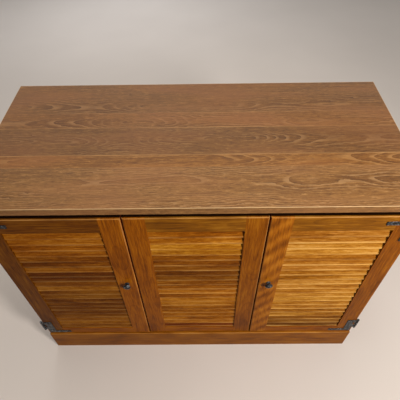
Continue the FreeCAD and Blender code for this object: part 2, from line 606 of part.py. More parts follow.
def make_panel(names, frame, width):
    """Two stiles, two tenoned rails and the slats; names gives their labels in that order."""
    left_name, right_name, top_name, bottom_name, slats_name = names
    rails = {
        top_name: (f"({PANEL_HEIGHT} - sizes.top_rail)", "sizes.top_rail"),
        bottom_name: ("0", "sizes.bottom_rail"),
    }
    centre_y = "sizes.door_thick / 2"
    slat_y = f"(sizes.slat_inset + {SLAT_HALF} * sin(sizes.slat_lean) + sizes.slat_thick / 2)"
    slat_z = f"(sizes.bottom_rail + sizes.slat_play + {SLAT_RISE} / 2)"
    inner_width = f"({width} - 2 * sizes.stile)"
    panel = {}
    for name, low, inner, inward in ((left_name, "0", "sizes.stile", 1),
                                     (right_name, f"({width} - sizes.stile)",
                                      f"({width} - sizes.stile)", -1)):
        body = board(name, frame, (low, "0", "0"), ("sizes.stile", "sizes.door_thick",
                                                    PANEL_HEIGHT))
        outer = "0" if inward == 1 else width

        def arris(middle, outer=outer):
            ends = near(middle.z, "0") or near(middle.z, PANEL_HEIGHT)
            return near(middle.y, "0") and (ends or near(middle.x, outer))

        round_edges(body, "sizes.edge_round", arris)
        mortises = new_sketch(body, "x", inner)
        for rail_low, rail_high in rails.values():
            rectangle(mortises, f"({centre_y} - sizes.tenon_thick / 2 - sizes.tenon_play)",
                      f"({rail_low} + sizes.tenon_shoulder - sizes.tenon_play)",
                      "(sizes.tenon_thick + 2 * sizes.tenon_play)",
                      f"({rail_high} - 2 * sizes.tenon_shoulder + 2 * sizes.tenon_play)")
        cut(body, mortises, "x", "sizes.tenon_long + sizes.end_play", -inward)
        housing = new_sketch(body, "x", inner)
        slot_outline(housing, slat_y, slat_z, "(sizes.slat_thick / 2 + sizes.slat_play)")
        first = cut(body, housing, "x", "sizes.slat_housing", -inward)
        repeat(body, first, "Z_Axis", SLAT_TRAVEL, SLAT_COUNT)
        panel[name] = body
    for name, (low, high) in rails.items():
        body = board(name, frame, ("sizes.stile", "0", low), (inner_width, "sizes.door_thick", high))
        edge = PANEL_HEIGHT if name == top_name else "0"
        round_edges(body, "sizes.edge_round",
                    lambda middle, edge=edge: near(middle.y, "0") and near(middle.z, edge))
        add_box(body, ("sizes.stile - sizes.tenon_long", f"({centre_y} - sizes.tenon_thick / 2)",
                       f"({low} + sizes.tenon_shoulder)"),
                (f"({inner_width} + 2 * sizes.tenon_long)", "sizes.tenon_thick",
                 f"({high} - 2 * sizes.tenon_shoulder)"))
        panel[name] = body
    slats = new_piece(slats_name, frame)
    section = new_sketch(slats, "x", "sizes.stile - sizes.slat_housing + sizes.end_play")
    slot_outline(section, slat_y, slat_z, "(sizes.slat_thick / 2)")
    slat = add(slats, section, "x", f"{inner_width} + 2 * (sizes.slat_housing - sizes.end_play)")
    repeat(slats, slat, "Z_Axis", SLAT_TRAVEL, SLAT_COUNT)
    return panel


def make_centre_panel():
    """The fixed panel, screwed on from behind through the two posts."""
    names = ["centre_left_stile", "centre_right_stile", "centre_top_rail", "centre_bottom_rail",
             "centre_slats"]
    panel = make_panel(names, CENTRE_FRAME, CENTRE_WIDTH)
    depth = "sizes.panel_screw_bite + sizes.end_play"
    shift = f"({GAP_CENTRE} + sizes.door_gap / 2)"
    for side, name in (("left", "centre_left_stile"), ("right", "centre_right_stile")):
        spots = [(f"{across} - {shift}", f"{up} - {DOOR_FOOT}") for across, up in POST_SCREWS[side]]
        drill(panel[name], "y", "sizes.door_thick", depth, PANEL_HOLE, spots, -1)
    screws("centre_panel_screws", CASE_FRAME, "y", BOARD, POST_SCREWS["left"] + POST_SCREWS["right"],
           ("sizes.panel_screw_radius", f"{BOARD} + sizes.panel_screw_bite"),
           ("sizes.panel_head_radius", "sizes.panel_head_thick"), -1)


# ---- hinges ----------------------------------------------------------------------------------

def from_edge(side, place, length="0"):
    """The low end, in the door's frame, of a stretch measured from the door's hinged edge."""
    return place if side == "left" else f"(sizes.door_width - ({place}) - ({length}))"


def hinge_levels(end):
    """For one end of a door: where the plate's corner is, and which way its upright arm goes."""
    if end == "lower":
        return "sizes.hinge_foot", "+"
    return f"({PANEL_HEIGHT} - sizes.hinge_head)", "-"


def level(end, height):
    """A height in the door's frame, measured from the plate's corner along its upright arm."""
    corner, sense = hinge_levels(end)
    return f"({corner} {sense} ({height}))"


BARREL_START = "(sizes.leaf_height - sizes.barrel_height)"
PLATE_CORNERS = [
    ("sizes.leaf_inset", "0"),
    ("sizes.leaf_inset + sizes.strap_length", "0"),
    ("sizes.leaf_inset + sizes.strap_length", "sizes.strap_height"),
    ("sizes.leaf_inset + sizes.leaf_width", "sizes.strap_height"),
    ("sizes.leaf_inset + sizes.leaf_width", "sizes.leaf_height"),
    ("sizes.leaf_inset", "sizes.leaf_height"),
]
PLATE_SCREWS = [
    ("sizes.leaf_inset + sizes.leaf_width / 2", "sizes.leaf_height - sizes.plate_screw_edge"),
    ("sizes.leaf_inset + sizes.leaf_width / 2", "sizes.strap_height + sizes.plate_screw_edge"),
    ("sizes.leaf_inset + sizes.strap_length - sizes.plate_screw_edge", "sizes.strap_height / 2"),
]
HINGE_HOLE = "sizes.hinge_screw_radius + sizes.fit_play"
PIN_BORE = "sizes.hinge_pin_radius + sizes.fit_play"


def plate_screw_spots(side, number_on_plate):
    across, height = PLATE_SCREWS[number_on_plate]
    return [(from_edge(side, across), level(end, height)) for end in ("lower", "upper")]


def make_door_leaves(side):
    """L-shaped plates on the door's face, each with the outer two knuckles of its barrel."""
    body = new_piece(f"{side}_door_hinge_leaves", DOOR_FRAMES[side])
    axis_x = from_edge(side, "-sizes.barrel_out")
    web_end = "sizes.leaf_inset + sizes.leaf_thick"
    for end in ("lower", "upper"):
        plate = new_sketch(body, "y", "0")
        outline(plate, [(from_edge(side, across), level(end, up)) for across, up in PLATE_CORNERS])
        add(body, plate, "y", "sizes.leaf_thick", -1)
        web = new_sketch(body, "y", "0")
        knuckle_long = f"({KNUCKLE} - sizes.knuckle_play)"
        for start in (BARREL_START, f"{BARREL_START} + 2 * {KNUCKLE} + sizes.knuckle_play"):
            outline(web, [(from_edge(side, across), level(end, height)) for across, height in (
                ("-sizes.barrel_out", start), (web_end, start),
                (web_end, f"{start} + {knuckle_long}"),
                ("-sizes.barrel_out", f"{start} + {knuckle_long}"))])
        add(body, web, "y", "sizes.leaf_thick", -1)
        towards = 1 if end == "lower" else -1
        for start in (BARREL_START, f"{BARREL_START} + 2 * {KNUCKLE} + sizes.knuckle_play"):
            add_rods(body, "z", level(end, start), knuckle_long, "sizes.barrel_radius",
                     [(axis_x, AXIS_Y)], towards)
        drill(body, "z", level(end, BARREL_START), "sizes.barrel_height", PIN_BORE,
              [(axis_x, AXIS_Y)], towards)
    rounded = [(number(from_edge(side, across)), number(level(end, up)))
               for end in ("lower", "upper") for across, up in PLATE_CORNERS[:5]]
    round_edges(body, "sizes.plate_round",
                lambda middle: near(middle.y, AXIS_Y) and any(
                    abs(middle.x - across) + abs(middle.z - up) < 0.01 for across, up in rounded))
    spots = [spot for index in range(3) for spot in plate_screw_spots(side, index)]
    drill(body, "y", "0", "sizes.leaf_thick", HINGE_HOLE, spots, -1)


def make_case_leaves(side):
    """Plates on the case's side, each reaching past the door's edge to the middle knuckle."""
    body = new_piece(f"{side}_case_hinge_leaves", CASE_FRAME)
    left = side == "left"
    low_x = "-sizes.leaf_thick" if left else CASE_WIDTH
    axis_x = "(sizes.edge_inset - sizes.barrel_out)"
    if not left:
        axis_x = f"({CASE_WIDTH} - {axis_x})"
    axis_y = f"({AXIS_Y} - sizes.door_thick - sizes.bumper_gap)"
    plate_y = f"({axis_y} + sizes.barrel_radius + sizes.barrel_play)"
    middle_long = f"({KNUCKLE} - sizes.knuckle_play)"
    for end in ("lower", "upper"):
        centre = HINGE_Z[end]
        add_box(body, (low_x, plate_y, f"{centre} - sizes.barrel_height / 2"),
                ("sizes.leaf_thick", f"(sizes.case_leaf_reach - {plate_y})", "sizes.barrel_height"))
        add_box(body, (low_x, f"{axis_y} + sizes.hinge_pin_radius / 2",
                       f"{centre} - {middle_long} / 2"),
                ("sizes.leaf_thick", f"({plate_y} - {axis_y})", middle_long))
        add_rods(body, "z", f"{centre} - {middle_long} / 2", middle_long, "sizes.barrel_radius",
                 [(axis_x, axis_y)])
        drill(body, "z", f"{centre} - {middle_long} / 2", middle_long, PIN_BORE,
              [(axis_x, axis_y)])
    ends = [number(f"{HINGE_Z[end]} {sense} sizes.barrel_height / 2")
            for end in ("lower", "upper") for sense in ("-", "+")]
    round_edges(body, "sizes.plate_round",
                lambda middle: near(middle.y, "sizes.case_leaf_reach")
                and any(abs(middle.z - height) < 0.01 for height in ends))
    drill(body, "x", "0" if left else CASE_WIDTH, "sizes.leaf_thick", HINGE_HOLE, CASE_SCREWS,
          -1 if left else 1)


def make_hinge_pins(side):
    """Steel pins with a button at each end, one through each barrel."""
    body = new_piece(f"{side}_hinge_pins", DOOR_FRAMES[side])
    spot = [(from_edge(side, "-sizes.barrel_out"), AXIS_Y)]
    for end in ("lower", "upper"):
        towards = 1 if end == "lower" else -1
        low = f"({BARREL_START} - sizes.knuckle_play)"
        high = "(sizes.leaf_height + sizes.knuckle_play)"
        add_rods(body, "z", level(end, low), f"{high} - {low}", "sizes.hinge_pin_radius", spot,
                 towards)
        add_rods(body, "z", level(end, low), "sizes.pin_tip_height", "sizes.pin_tip_radius", spot,
                 -towards)
        add_rods(body, "z", level(end, high), "sizes.pin_tip_height", "sizes.pin_tip_radius",
                 spot, towards)
    tips = [number(level(end, height)) for end in ("lower", "upper") for height in
            (f"{BARREL_START} - sizes.knuckle_play - sizes.pin_tip_height",
             "sizes.leaf_height + sizes.knuckle_play + sizes.pin_tip_height")]
    round_edges(body, "0.8 * sizes.pin_tip_radius",
                lambda middle: any(abs(middle.z - tip) < 0.01 for tip in tips))


def make_case_screws():
    """The screws of the case plates, two in each, along the case's width."""
    shank = ("sizes.hinge_screw_radius", "sizes.leaf_thick + sizes.hinge_screw_bite")
    head = ("sizes.hinge_head_radius", "sizes.hinge_head_thick")
    screws("left_case_hinge_screws", CASE_FRAME, "x", "-sizes.leaf_thick", CASE_SCREWS, shank, head)
    screws("right_case_hinge_screws", CASE_FRAME, "x", f"({CASE_WIDTH} + sizes.leaf_thick)",
           CASE_SCREWS, shank, head, -1)


# ---- doors -----------------------------------------------------------------------------------

def make_knob(side, centre_x, centre_z):
    """A turned iron knob with a domed head, and the screw that holds it through the stile."""
    face = DOOR_FRAMES[side]
    frame = (f"{face[0]} + {centre_x}", face[1], f"{face[2]} + {centre_z}")
    knob = new_piece(f"{side}_door_knob", frame)
    add_rods(knob, "y", "0", "sizes.knob_foot_thick", "sizes.knob_foot", [("0", "0")], -1)
    rim = "(sizes.knob_reach - sizes.knob_dome - sizes.knob_rim)"
    add_rods(knob, "y", "0", rim, "sizes.knob_neck", [("0", "0")], -1)
    add_rods(knob, "y", f"-{rim}", "sizes.knob_rim + sizes.knob_dome", "sizes.knob_radius",
             [("0", "0")], -1)
    round_edges(knob, "0.98 * sizes.knob_dome",
                lambda middle: near(middle.y, "-sizes.knob_reach"))
    round_edges(knob, "0.4 * sizes.knob_rim", lambda middle: near(middle.y, f"-{rim}"))
    drill(knob, "y", "0", "sizes.knob_screw_bite + sizes.end_play",
          "sizes.knob_screw_radius + sizes.fit_play", [("0", "0")], -1)
    screw = new_piece(f"{side}_knob_screw", frame)
    seat = "(sizes.door_thick - sizes.knob_head_thick)"
    add_rods(screw, "y", seat, f"{seat} + sizes.knob_screw_bite", "sizes.knob_screw_radius",
             [("0", "0")], -1)
    add_rods(screw, "y", seat, "sizes.knob_head_thick", "sizes.knob_head_radius", [("0", "0")])


def make_strike(side, centre_x, centre_z):
    """A steel plate on the door's back for the magnet, held by its own prong."""
    strike = board(f"{side}_strike_plate", DOOR_FRAMES[side],
                   (f"{centre_x} - sizes.strike_width / 2", "sizes.door_thick",
                    f"{centre_z} - sizes.strike_high / 2"),
                   ("sizes.strike_width", "sizes.strike_thick", "sizes.strike_high"))
    add_rods(strike, "y", "sizes.door_thick", "sizes.prong_long", "sizes.prong_radius",
             [(centre_x, centre_z)], -1)


def make_door(side):
    """A louvred door with its knob, strike plate and hinge plates."""
    own = {"left": ("hinge_stile", "lock_stile"), "right": ("lock_stile", "hinge_stile")}[side]
    names = [f"{side}_door_{piece}" for piece in own + ("top_rail", "bottom_rail", "slats")]
    panel = make_panel(names, DOOR_FRAMES[side], "sizes.door_width")
    hinge_stile = panel[f"{side}_door_hinge_stile"]
    lock_stile = panel[f"{side}_door_lock_stile"]
    bite = "sizes.hinge_screw_bite + sizes.end_play"
    upright = plate_screw_spots(side, 0) + plate_screw_spots(side, 1)
    drill(hinge_stile, "y", "0", bite, HINGE_HOLE, upright)
    lower, upper = plate_screw_spots(side, 2)
    drill(panel[f"{side}_door_bottom_rail"], "y", "0", bite, HINGE_HOLE, [lower])
    top_rail = panel[f"{side}_door_top_rail"]
    drill(top_rail, "y", "0", bite, HINGE_HOLE, [upper])
    screws(f"{side}_door_hinge_screws", DOOR_FRAMES[side], "y", "-sizes.leaf_thick",
           upright + [lower, upper],
           ("sizes.hinge_screw_radius", "sizes.leaf_thick + sizes.hinge_screw_bite"),
           ("sizes.hinge_head_radius", "sizes.hinge_head_thick"))

    knob_x = from_edge(side, "sizes.door_width - sizes.stile / 2")
    knob_z = f"(sizes.knob_height - {DOOR_FOOT})"
    drill(lock_stile, "y", "0", "sizes.door_thick", "sizes.knob_screw_radius + sizes.fit_play",
          [(knob_x, knob_z)])
    drill(lock_stile, "y", "sizes.door_thick", "sizes.knob_head_thick",
          "sizes.knob_head_radius + sizes.fit_play", [(knob_x, knob_z)], -1)
    make_knob(side, knob_x, knob_z)

    strike_x = from_edge(side, CATCH_X)
    strike_z = f"({CATCH_Z} - {DOOR_FOOT})"
    drill(top_rail, "y", "sizes.door_thick", "sizes.prong_long + sizes.end_play",
          "sizes.prong_radius + sizes.fit_play", [(strike_x, strike_z)], -1)
    make_strike(side, strike_x, strike_z)
    make_door_leaves(side)
    make_hinge_pins(side)
    make_case_leaves(side)


# ---- the whole cabinet, checks and files -----------------------------------------------------

def check_document():
    """Stop on a failed feature, a bad shape, or a cut that took nothing away."""
    faults = []
    for item in doc.Objects:
        if {"Invalid", "Error"} & set(item.State):
            faults.append(f"{item.Label}: {item.State}")
    for body in doc.findObjects("PartDesign::Body"):
        if body.Shape.isNull() or not body.Shape.isValid() or not body.Shape.Solids:
            faults.append(f"{body.Label}: bad shape")
    for item in doc.findObjects("PartDesign::Pocket"):
        taken = item.BaseFeature.Shape.Volume - item.Shape.Volume
        if taken < 0.1:
            faults.append(f"{item.Label}: cuts nothing")
    if faults:
        raise RuntimeError("; ".join(faults))


def write_files():
    os.makedirs("parts", exist_ok=True)
    for body in doc.findObjects("PartDesign::Body"):
        body.Shape.exportStep(f"parts/{body.Label}.step")


make_top()
make_side_panels()
make_cross_boards()
make_case_dowels()
make_base()
make_corner_blocks()
make_back()
make_shelf()
make_catches()
make_centre_panel()
for door_side in ("left", "right"):
    make_door(door_side)
make_case_screws()
doc.recompute()
check_document()
write_files()
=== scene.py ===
"""A low louvred cabinet: a wood-print laminate top over a stained maple case, with two louvred
doors on black iron strap hinges and a fixed louvred panel between them."""
import math

import bmesh
import bpy
from mathutils import Matrix, Vector


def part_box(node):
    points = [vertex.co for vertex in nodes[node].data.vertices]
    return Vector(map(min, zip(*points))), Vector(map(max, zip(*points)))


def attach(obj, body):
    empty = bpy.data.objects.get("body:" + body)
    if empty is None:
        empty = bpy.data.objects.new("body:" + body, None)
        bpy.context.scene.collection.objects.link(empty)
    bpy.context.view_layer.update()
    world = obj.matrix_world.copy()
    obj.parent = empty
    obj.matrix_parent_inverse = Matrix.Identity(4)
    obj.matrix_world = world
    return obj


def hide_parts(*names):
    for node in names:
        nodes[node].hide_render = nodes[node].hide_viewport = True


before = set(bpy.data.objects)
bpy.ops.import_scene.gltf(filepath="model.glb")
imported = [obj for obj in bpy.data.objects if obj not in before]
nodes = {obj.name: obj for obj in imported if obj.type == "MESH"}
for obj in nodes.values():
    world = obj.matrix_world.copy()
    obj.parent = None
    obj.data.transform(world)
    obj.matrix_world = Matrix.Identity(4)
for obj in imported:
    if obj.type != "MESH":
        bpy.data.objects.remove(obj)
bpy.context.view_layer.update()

# -------------------------------------------------------------------------------------------------
# The top's face. One sheet of high-pressure laminate, 0.8 mm, glued to the core and trimmed flush,
# with its sharp arris filed round. The paper under its melamine is printed as boards of walnut.

mm = 0.001
sheet_low, sheet_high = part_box("top_laminate")
filed_arris = 0.6 * mm
# What lies nearer to a face than this is on it, and edges that turn by less than this are smooth.
skin = 0.3 * mm
smooth_under = math.radians(40)


def choose(piece):
    """Selects one piece alone and makes it the active one."""
    bpy.ops.object.select_all(action="DESELECT")
    piece.select_set(True)
    bpy.context.view_layer.objects.active = piece


def start(primitive, name, **places):
    """Adds a primitive with everything else deselected, and names it."""
    bpy.ops.object.select_all(action="DESELECT")
    primitive(**places)
    piece = bpy.context.object
    piece.name = piece.data.name = name
    return piece


def settle(piece):
    """Puts a piece's place, turn and size into its mesh, so that its object sits at the origin."""
    choose(piece)
    bpy.ops.object.transform_apply(location=True, rotation=True, scale=True)


def stand_in(piece, body, slot, *replaced):
    """The piece rides on a body and stands for CAD nodes, which are hidden. slot is not used."""
    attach(piece, body)
    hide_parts(*replaced)


sheet = start(bpy.ops.mesh.primitive_cube_add, "laminate_sheet", size=1,
              location=(sheet_low + sheet_high) / 2, scale=sheet_high - sheet_low)
settle(sheet)
bpy.ops.object.mode_set(mode="EDIT")
bpy.ops.mesh.select_mode(type="EDGE")
bpy.ops.mesh.select_all(action="DESELECT")
bpy.ops.object.mode_set(mode="OBJECT")
for edge in sheet.data.edges:
    edge.select = all(sheet.data.vertices[v].co.z > sheet_high.z - skin for v in edge.vertices)
bpy.ops.object.mode_set(mode="EDIT")
bpy.ops.mesh.bevel(offset=filed_arris, segments=3, affect="EDGES")
bpy.ops.object.mode_set(mode="OBJECT")
bpy.ops.object.shade_smooth_by_angle(angle=smooth_under)
stand_in(sheet, "cabinet", "wood_laminate", "top_laminate")


def linear(hex_colour):
    """An sRGB hex colour as the linear RGBA that a shader takes."""
    channels = [int(hex_colour[i:i + 2], 16) / 255 for i in (1, 3, 5)]
    return [c / 12.92 if c <= 0.04045 else ((c + 0.055) / 1.055) ** 2.4 for c in channels] + [1.0]


def add(tree, kind, sockets=(), stops=(), **settings):
    """Adds one node with its settings, colour stops and inputs, and returns its live output.

    sockets has, for the live inputs in their order, a value, another node's output, or None."""
    node = tree.nodes.new(kind)
    for setting, value in settings.items():
        setattr(node, setting, value)
    for number, (place, colour) in enumerate(stops):
        elements = node.color_ramp.elements
        element = elements[number] if number < len(elements) else elements.new(1.0)
        element.position = place
        element.color = linear(colour)
    for socket, value in zip([s for s in node.inputs if s.enabled], sockets):
        if isinstance(value, bpy.types.NodeSocket):
            tree.links.new(value, socket)
        elif value is not None:
            socket.default_value = value
    return next(socket for socket in node.outputs if socket.enabled)


def finish(name, roughness, **constants):
    """A material, its tree and its shader; constants go straight onto the shader's sockets."""
    material = bpy.data.materials.new(name)
    material.use_nodes = True
    shader = material.node_tree.nodes["Principled BSDF"]
    shader.inputs["Roughness"].default_value = roughness
    for socket, value in constants.items():
        shader.inputs[socket.replace("_", " ")].default_value = value
    return material, material.node_tree, shader


def drawn_out(tree, place, along, across, detail=2.0, rough=0.5, seed=0.0):
    """Noise drawn out along the grain, with features of these two lengths.

    seed moves it to another part of the noise, so that patterns on one board don't agree."""
    scale = (1 / along, 1 / across, 1 / across)
    scaled = add(tree, "ShaderNodeMapping", (place, (seed, seed * 1.7, seed * 2.3), None, scale))
    return add(tree, "ShaderNodeTexNoise", (scaled, 1.0, detail, rough))


def growth_rings(tree, place, pitch, depth, sway):
    """Dark lines of late wood, from 0 to 1: arches along a board's heart, straight beside it.

    place has X along the grain and Y from the heart line. The heart lies about depth below the
    face and comes nearer and farther along the board, and sway is how far the rings wander."""
    highest, deepest = -0.9 * depth, 2.3 * depth
    late_wood = 2.6  # how suddenly a ring darkens at its outer side
    parts = add(tree, "ShaderNodeSeparateXYZ", (place,)).node.outputs
    only_along = add(tree, "ShaderNodeCombineXYZ", (parts[0], 0.0, 0.0))
    swell = drawn_out(tree, only_along, 300 * mm, 300 * mm, 1.0, 0.4, 4.0)
    wander = drawn_out(tree, place, 160 * mm, 50 * mm, 5.0, 0.6, 9.0)
    wander = add(tree, "ShaderNodeMath", (wander, sway, -sway / 2), operation="MULTIPLY_ADD")
    off_heart = add(tree, "ShaderNodeMath", (parts[1], wander), operation="ADD")
    off_heart = add(tree, "ShaderNodeMath", (off_heart, off_heart), operation="MULTIPLY")
    below = add(tree, "ShaderNodeMath", (swell, deepest - highest, highest),
                operation="MULTIPLY_ADD")
    below = add(tree, "ShaderNodeMath", (below, below), operation="MULTIPLY")
    radius = add(tree, "ShaderNodeMath", (off_heart, below), operation="ADD")
    radius = add(tree, "ShaderNodeMath", (radius,), operation="SQRT")
    count = add(tree, "ShaderNodeMath", (radius, pitch), operation="DIVIDE")
    ring = add(tree, "ShaderNodeMath", (count,), operation="FRACT")
    return add(tree, "ShaderNodeMath", (ring, late_wood), operation="POWER")


def mixed(tree, tone, *shares):
    """A tone with shares of several patterns added to it."""
    for pattern, share in shares:
        tone = add(tree, "ShaderNodeMath", (pattern, share, tone), operation="MULTIPLY_ADD")
    return tone


def lacquer(tree, shader, height, low, high, roughness, depth):
    """Roughness between two values and a bump of a real depth, both from one height."""
    bump_strength = 0.6
    rough = add(tree, "ShaderNodeMapRange", (height, low, high, *roughness))
    tree.links.new(rough, shader.inputs["Roughness"])
    bump = add(tree, "ShaderNodeBump", (bump_strength, depth, None, height))
    tree.links.new(bump, shader.inputs["Normal"])


def paint(material, *names):
    """Gives a material to CAD nodes and to new pieces."""
    for name in names:
        mesh = bpy.data.objects[name].data
        mesh.materials.clear()
        mesh.materials.append(material)


# Melamine laminate pressed on a satin plate: hard and even, a broad soft sheen, and pores that
# are printed as well as pressed a few hundredths of a millimetre deep.
laminate, tree, shader = finish("walnut_print_melamine_laminate", 0.42, IOR=1.5,
                                Specular_IOR_Level=0.25)
place = add(tree, "ShaderNodeTexCoord").node.outputs["Object"]
parts = add(tree, "ShaderNodeSeparateXYZ", (place,)).node.outputs
# The joints between the printed boards, from front to back, and how plainly each one shows. Each
# is a pale line as wide as joint_half on both sides, and is gone at joint_gone.
joint_half, joint_gone = 0.6 * mm, 2.4 * mm
printed_joints = ((-100 * mm, 0.15), (-58 * mm, 0.5), (45 * mm, 0.36), (108 * mm, 0.2))
printed_board = 0.0
for joint, _ in printed_joints:
    past = add(tree, "ShaderNodeMath", (parts[1], joint), operation="GREATER_THAN")
    printed_board = add(tree, "ShaderNodeMath", (printed_board, past), operation="ADD")
# Each printed board has its own length and depth of trunk and its own heart line across the top.
own_length, own_depth = 1.37, 1.9
first_heart, heart_step = -145 * mm, 71 * mm
moved_x = add(tree, "ShaderNodeMath", (printed_board, own_length, parts[0]),
              operation="MULTIPLY_ADD")
heart_y = add(tree, "ShaderNodeMath", (printed_board, heart_step, first_heart),
              operation="MULTIPLY_ADD")
moved_y = add(tree, "ShaderNodeMath", (parts[1], heart_y), operation="SUBTRACT")
deeper = add(tree, "ShaderNodeMath", (printed_board, own_depth, parts[2]),
             operation="MULTIPLY_ADD")
board_place = add(tree, "ShaderNodeCombineXYZ", (moved_x, moved_y, deeper))
arches = growth_rings(tree, board_place, 5.5 * mm, 34 * mm, 38 * mm)
shown = drawn_out(tree, board_place, 240 * mm, 50 * mm, 1.0, 0.5, 3.0)
shown = add(tree, "ShaderNodeMapRange", (shown, 0.38, 0.58, 0.15, 1.0))
# The edge strips below the sheet are cut from plainer paper.
face_depth = 1.2 * mm
upper = add(tree, "ShaderNodeMath", (parts[2], sheet_high.z - face_depth),
            operation="GREATER_THAN")
shown = add(tree, "ShaderNodeMath", (shown, upper), operation="MULTIPLY")
early_wood = add(tree, "ShaderNodeMapRange", (arches, 0.0, 0.06, 0.5, 0.0))
early_wood = add(tree, "ShaderNodeMath", (early_wood, shown), operation="MULTIPLY")
arches = add(tree, "ShaderNodeMath", (arches, shown), operation="MULTIPLY")
streaks = drawn_out(tree, board_place, 180 * mm, 9 * mm, 5.0, 0.7, 5.0)
hairs = drawn_out(tree, board_place, 24 * mm, 3.4 * mm, 4.0, 0.8, 8.0)
# Real pores are 0.2 mm wide; these are over ten times as wide, or none would show.
pores = drawn_out(tree, board_place, 13 * mm, 3 * mm, 2.0, 0.6, 12.0)
clouds = drawn_out(tree, board_place, 300 * mm, 70 * mm, 1.0, 0.5, 15.0)
tone = mixed(tree, 0.01, (arches, -0.09), (streaks, 0.34), (hairs, 0.56), (clouds, 0.22))
colour = add(tree, "ShaderNodeValToRGB", (tone,),
             stops=((0.37, "#55361C"), (0.50, "#765029"), (0.61, "#8F6537"), (0.76, "#A87E4A")))
dark_pores = add(tree, "ShaderNodeMapRange", (pores, 0.56, 0.66, 0.0, 0.5))
colour = add(tree, "ShaderNodeMix", (dark_pores, colour, linear("#54351E")), data_type="RGBA")
pale_lines = add(tree, "ShaderNodeMapRange", (hairs, 0.58, 0.66, 0.0, 0.4))
colour = add(tree, "ShaderNodeMix", (pale_lines, colour, linear("#C29A66")), data_type="RGBA")
colour = add(tree, "ShaderNodeMix", (early_wood, colour, linear("#B08A5E")), data_type="RGBA")
redder = add(tree, "ShaderNodeMapRange", (clouds, 0.45, 0.7, 0.0, 0.45))
colour = add(tree, "ShaderNodeMix", (redder, colour, linear("#8A5A38")), data_type="RGBA")
board_tone = add(tree, "ShaderNodeMath", (printed_board, float(len(printed_joints))),
                 operation="DIVIDE")
board_tone = add(tree, "ShaderNodeValToRGB", (board_tone,), stops=(
    (0.0, "#FFFFFF"), (0.2, "#FFF4DC"), (0.45, "#E2DCD6"), (0.7, "#F6EDE6"), (0.95, "#ECE6E2")))
board_tone.node.color_ramp.interpolation = "CONSTANT"
colour = add(tree, "ShaderNodeMix", (1.0, colour, board_tone), data_type="RGBA",
             blend_type="MULTIPLY")
for joint, share in printed_joints:
    off_joint = add(tree, "ShaderNodeMath", (parts[1], joint), operation="SUBTRACT")
    off_joint = add(tree, "ShaderNodeMath", (off_joint,), operation="ABSOLUTE")
    line = add(tree, "ShaderNodeMapRange", (off_joint, joint_half, joint_gone, share, 0.0))
    line = add(tree, "ShaderNodeMath", (line, shown), operation="MULTIPLY")
    colour = add(tree, "ShaderNodeMix", (line, colour, linear("#C79A62")), data_type="RGBA")
# A pale line is painted round the top's rim along the filed arris: a painted highlight where the
# arris catches the light.
line_from, line_to = 1.6 * mm, 0.8 * mm
painted_arris_highlight = 0.0
for coordinate, low, high in ((parts[0], sheet_low.x, sheet_high.x),
                              (parts[1], sheet_low.y, sheet_high.y)):
    middle, half = (low + high) / 2, (high - low) / 2
    off = add(tree, "ShaderNodeMath", (coordinate, middle), operation="SUBTRACT")
    off = add(tree, "ShaderNodeMath", (off,), operation="ABSOLUTE")
    rim = add(tree, "ShaderNodeMapRange", (off, half - line_from, half - line_to, 0.0, 0.7))
    painted_arris_highlight = add(tree, "ShaderNodeMath", (painted_arris_highlight, rim), operation="MAXIMUM")
painted_arris_highlight = add(tree, "ShaderNodeMath", (painted_arris_highlight, upper), operation="MULTIPLY")
colour = add(tree, "ShaderNodeMix", (painted_arris_highlight, colour, linear("#DDBB8A")), data_type="RGBA")
tree.links.new(colour, shader.inputs["Base Color"])
lacquer(tree, shader, hairs, 0.3, 0.7, (0.38, 0.48), 0.05 * mm)
paint(laminate, "laminate_sheet", "top_edge_front", "top_edge_back", "top_edge_left",
      "top_edge_right")

# -------------------------------------------------------------------------------------------------
# The rest of the top. A particle board core, 17.4 mm, with a thin brown balancing sheet glued
# underneath so that the laminate doesn't warp it.

# Kraft paper soaked in phenolic resin: matt, dark, with its paper fibres just showing.
backing, tree, shader = finish("brown_phenolic_backing_sheet", 0.55)
place = add(tree, "ShaderNodeTexCoord").node.outputs["Object"]
fibres = drawn_out(tree, place, 9 * mm, 2 * mm, 3.0, 0.6)
colour = add(tree, "ShaderNodeValToRGB", (fibres,),
             stops=((0.3, "#38231A"), (0.5, "#452D20"), (0.7, "#523726")))
tree.links.new(colour, shader.inputs["Base Color"])
lacquer(tree, shader, fibres, 0.3, 0.7, (0.5, 0.62), 0.04 * mm)
paint(backing, "top_backer")

# Wood chips pressed in resin: pale flakes of several tans, rough where it was sawn or drilled.
chipboard, tree, shader = finish("pressed_particle_board", 0.85)
place = add(tree, "ShaderNodeTexCoord").node.outputs["Object"]
flakes = add(tree, "ShaderNodeTexVoronoi", (place, 1 / (3 * mm))).node.outputs["Color"]
flakes = add(tree, "ShaderNodeSeparateColor", (flakes,))
colour = add(tree, "ShaderNodeValToRGB", (flakes,),
             stops=((0.0, "#8C6A44"), (0.5, "#B08C60"), (1.0, "#C9A878")))
tree.links.new(colour, shader.inputs["Base Color"])
lacquer(tree, shader, flakes, 0.0, 1.0, (0.75, 0.95), 0.2 * mm)
paint(chipboard, "top_core")

# -------------------------------------------------------------------------------------------------
# The case. Solid maple boards, stained amber brown and lacquered. Two sides, a bottom and rails
# under the top, 19 mm, are dowelled and glued, with a 24 mm toe board that stands proud of the
# doors. The shelf lies loose on its pins.

# The axes along the grain, across the face and through the thickness of each board.
case_boards = {
    "left_side_panel": "ZYX", "right_side_panel": "ZYX", "bottom_panel": "XYZ", "shelf": "XYZ",
    "top_front_rail": "XZY", "top_back_rail": "XZY", "toe_board": "XZY",
}


def from_middle(tree, low, high):
    """X, Y and Z of Object coordinates, from the middle of the box between two corners."""
    place = add(tree, "ShaderNodeTexCoord").node.outputs["Object"]
    centred = add(tree, "ShaderNodeMapping", (place, -(low + high) / 2))
    return add(tree, "ShaderNodeSeparateXYZ", (centred,)).node.outputs


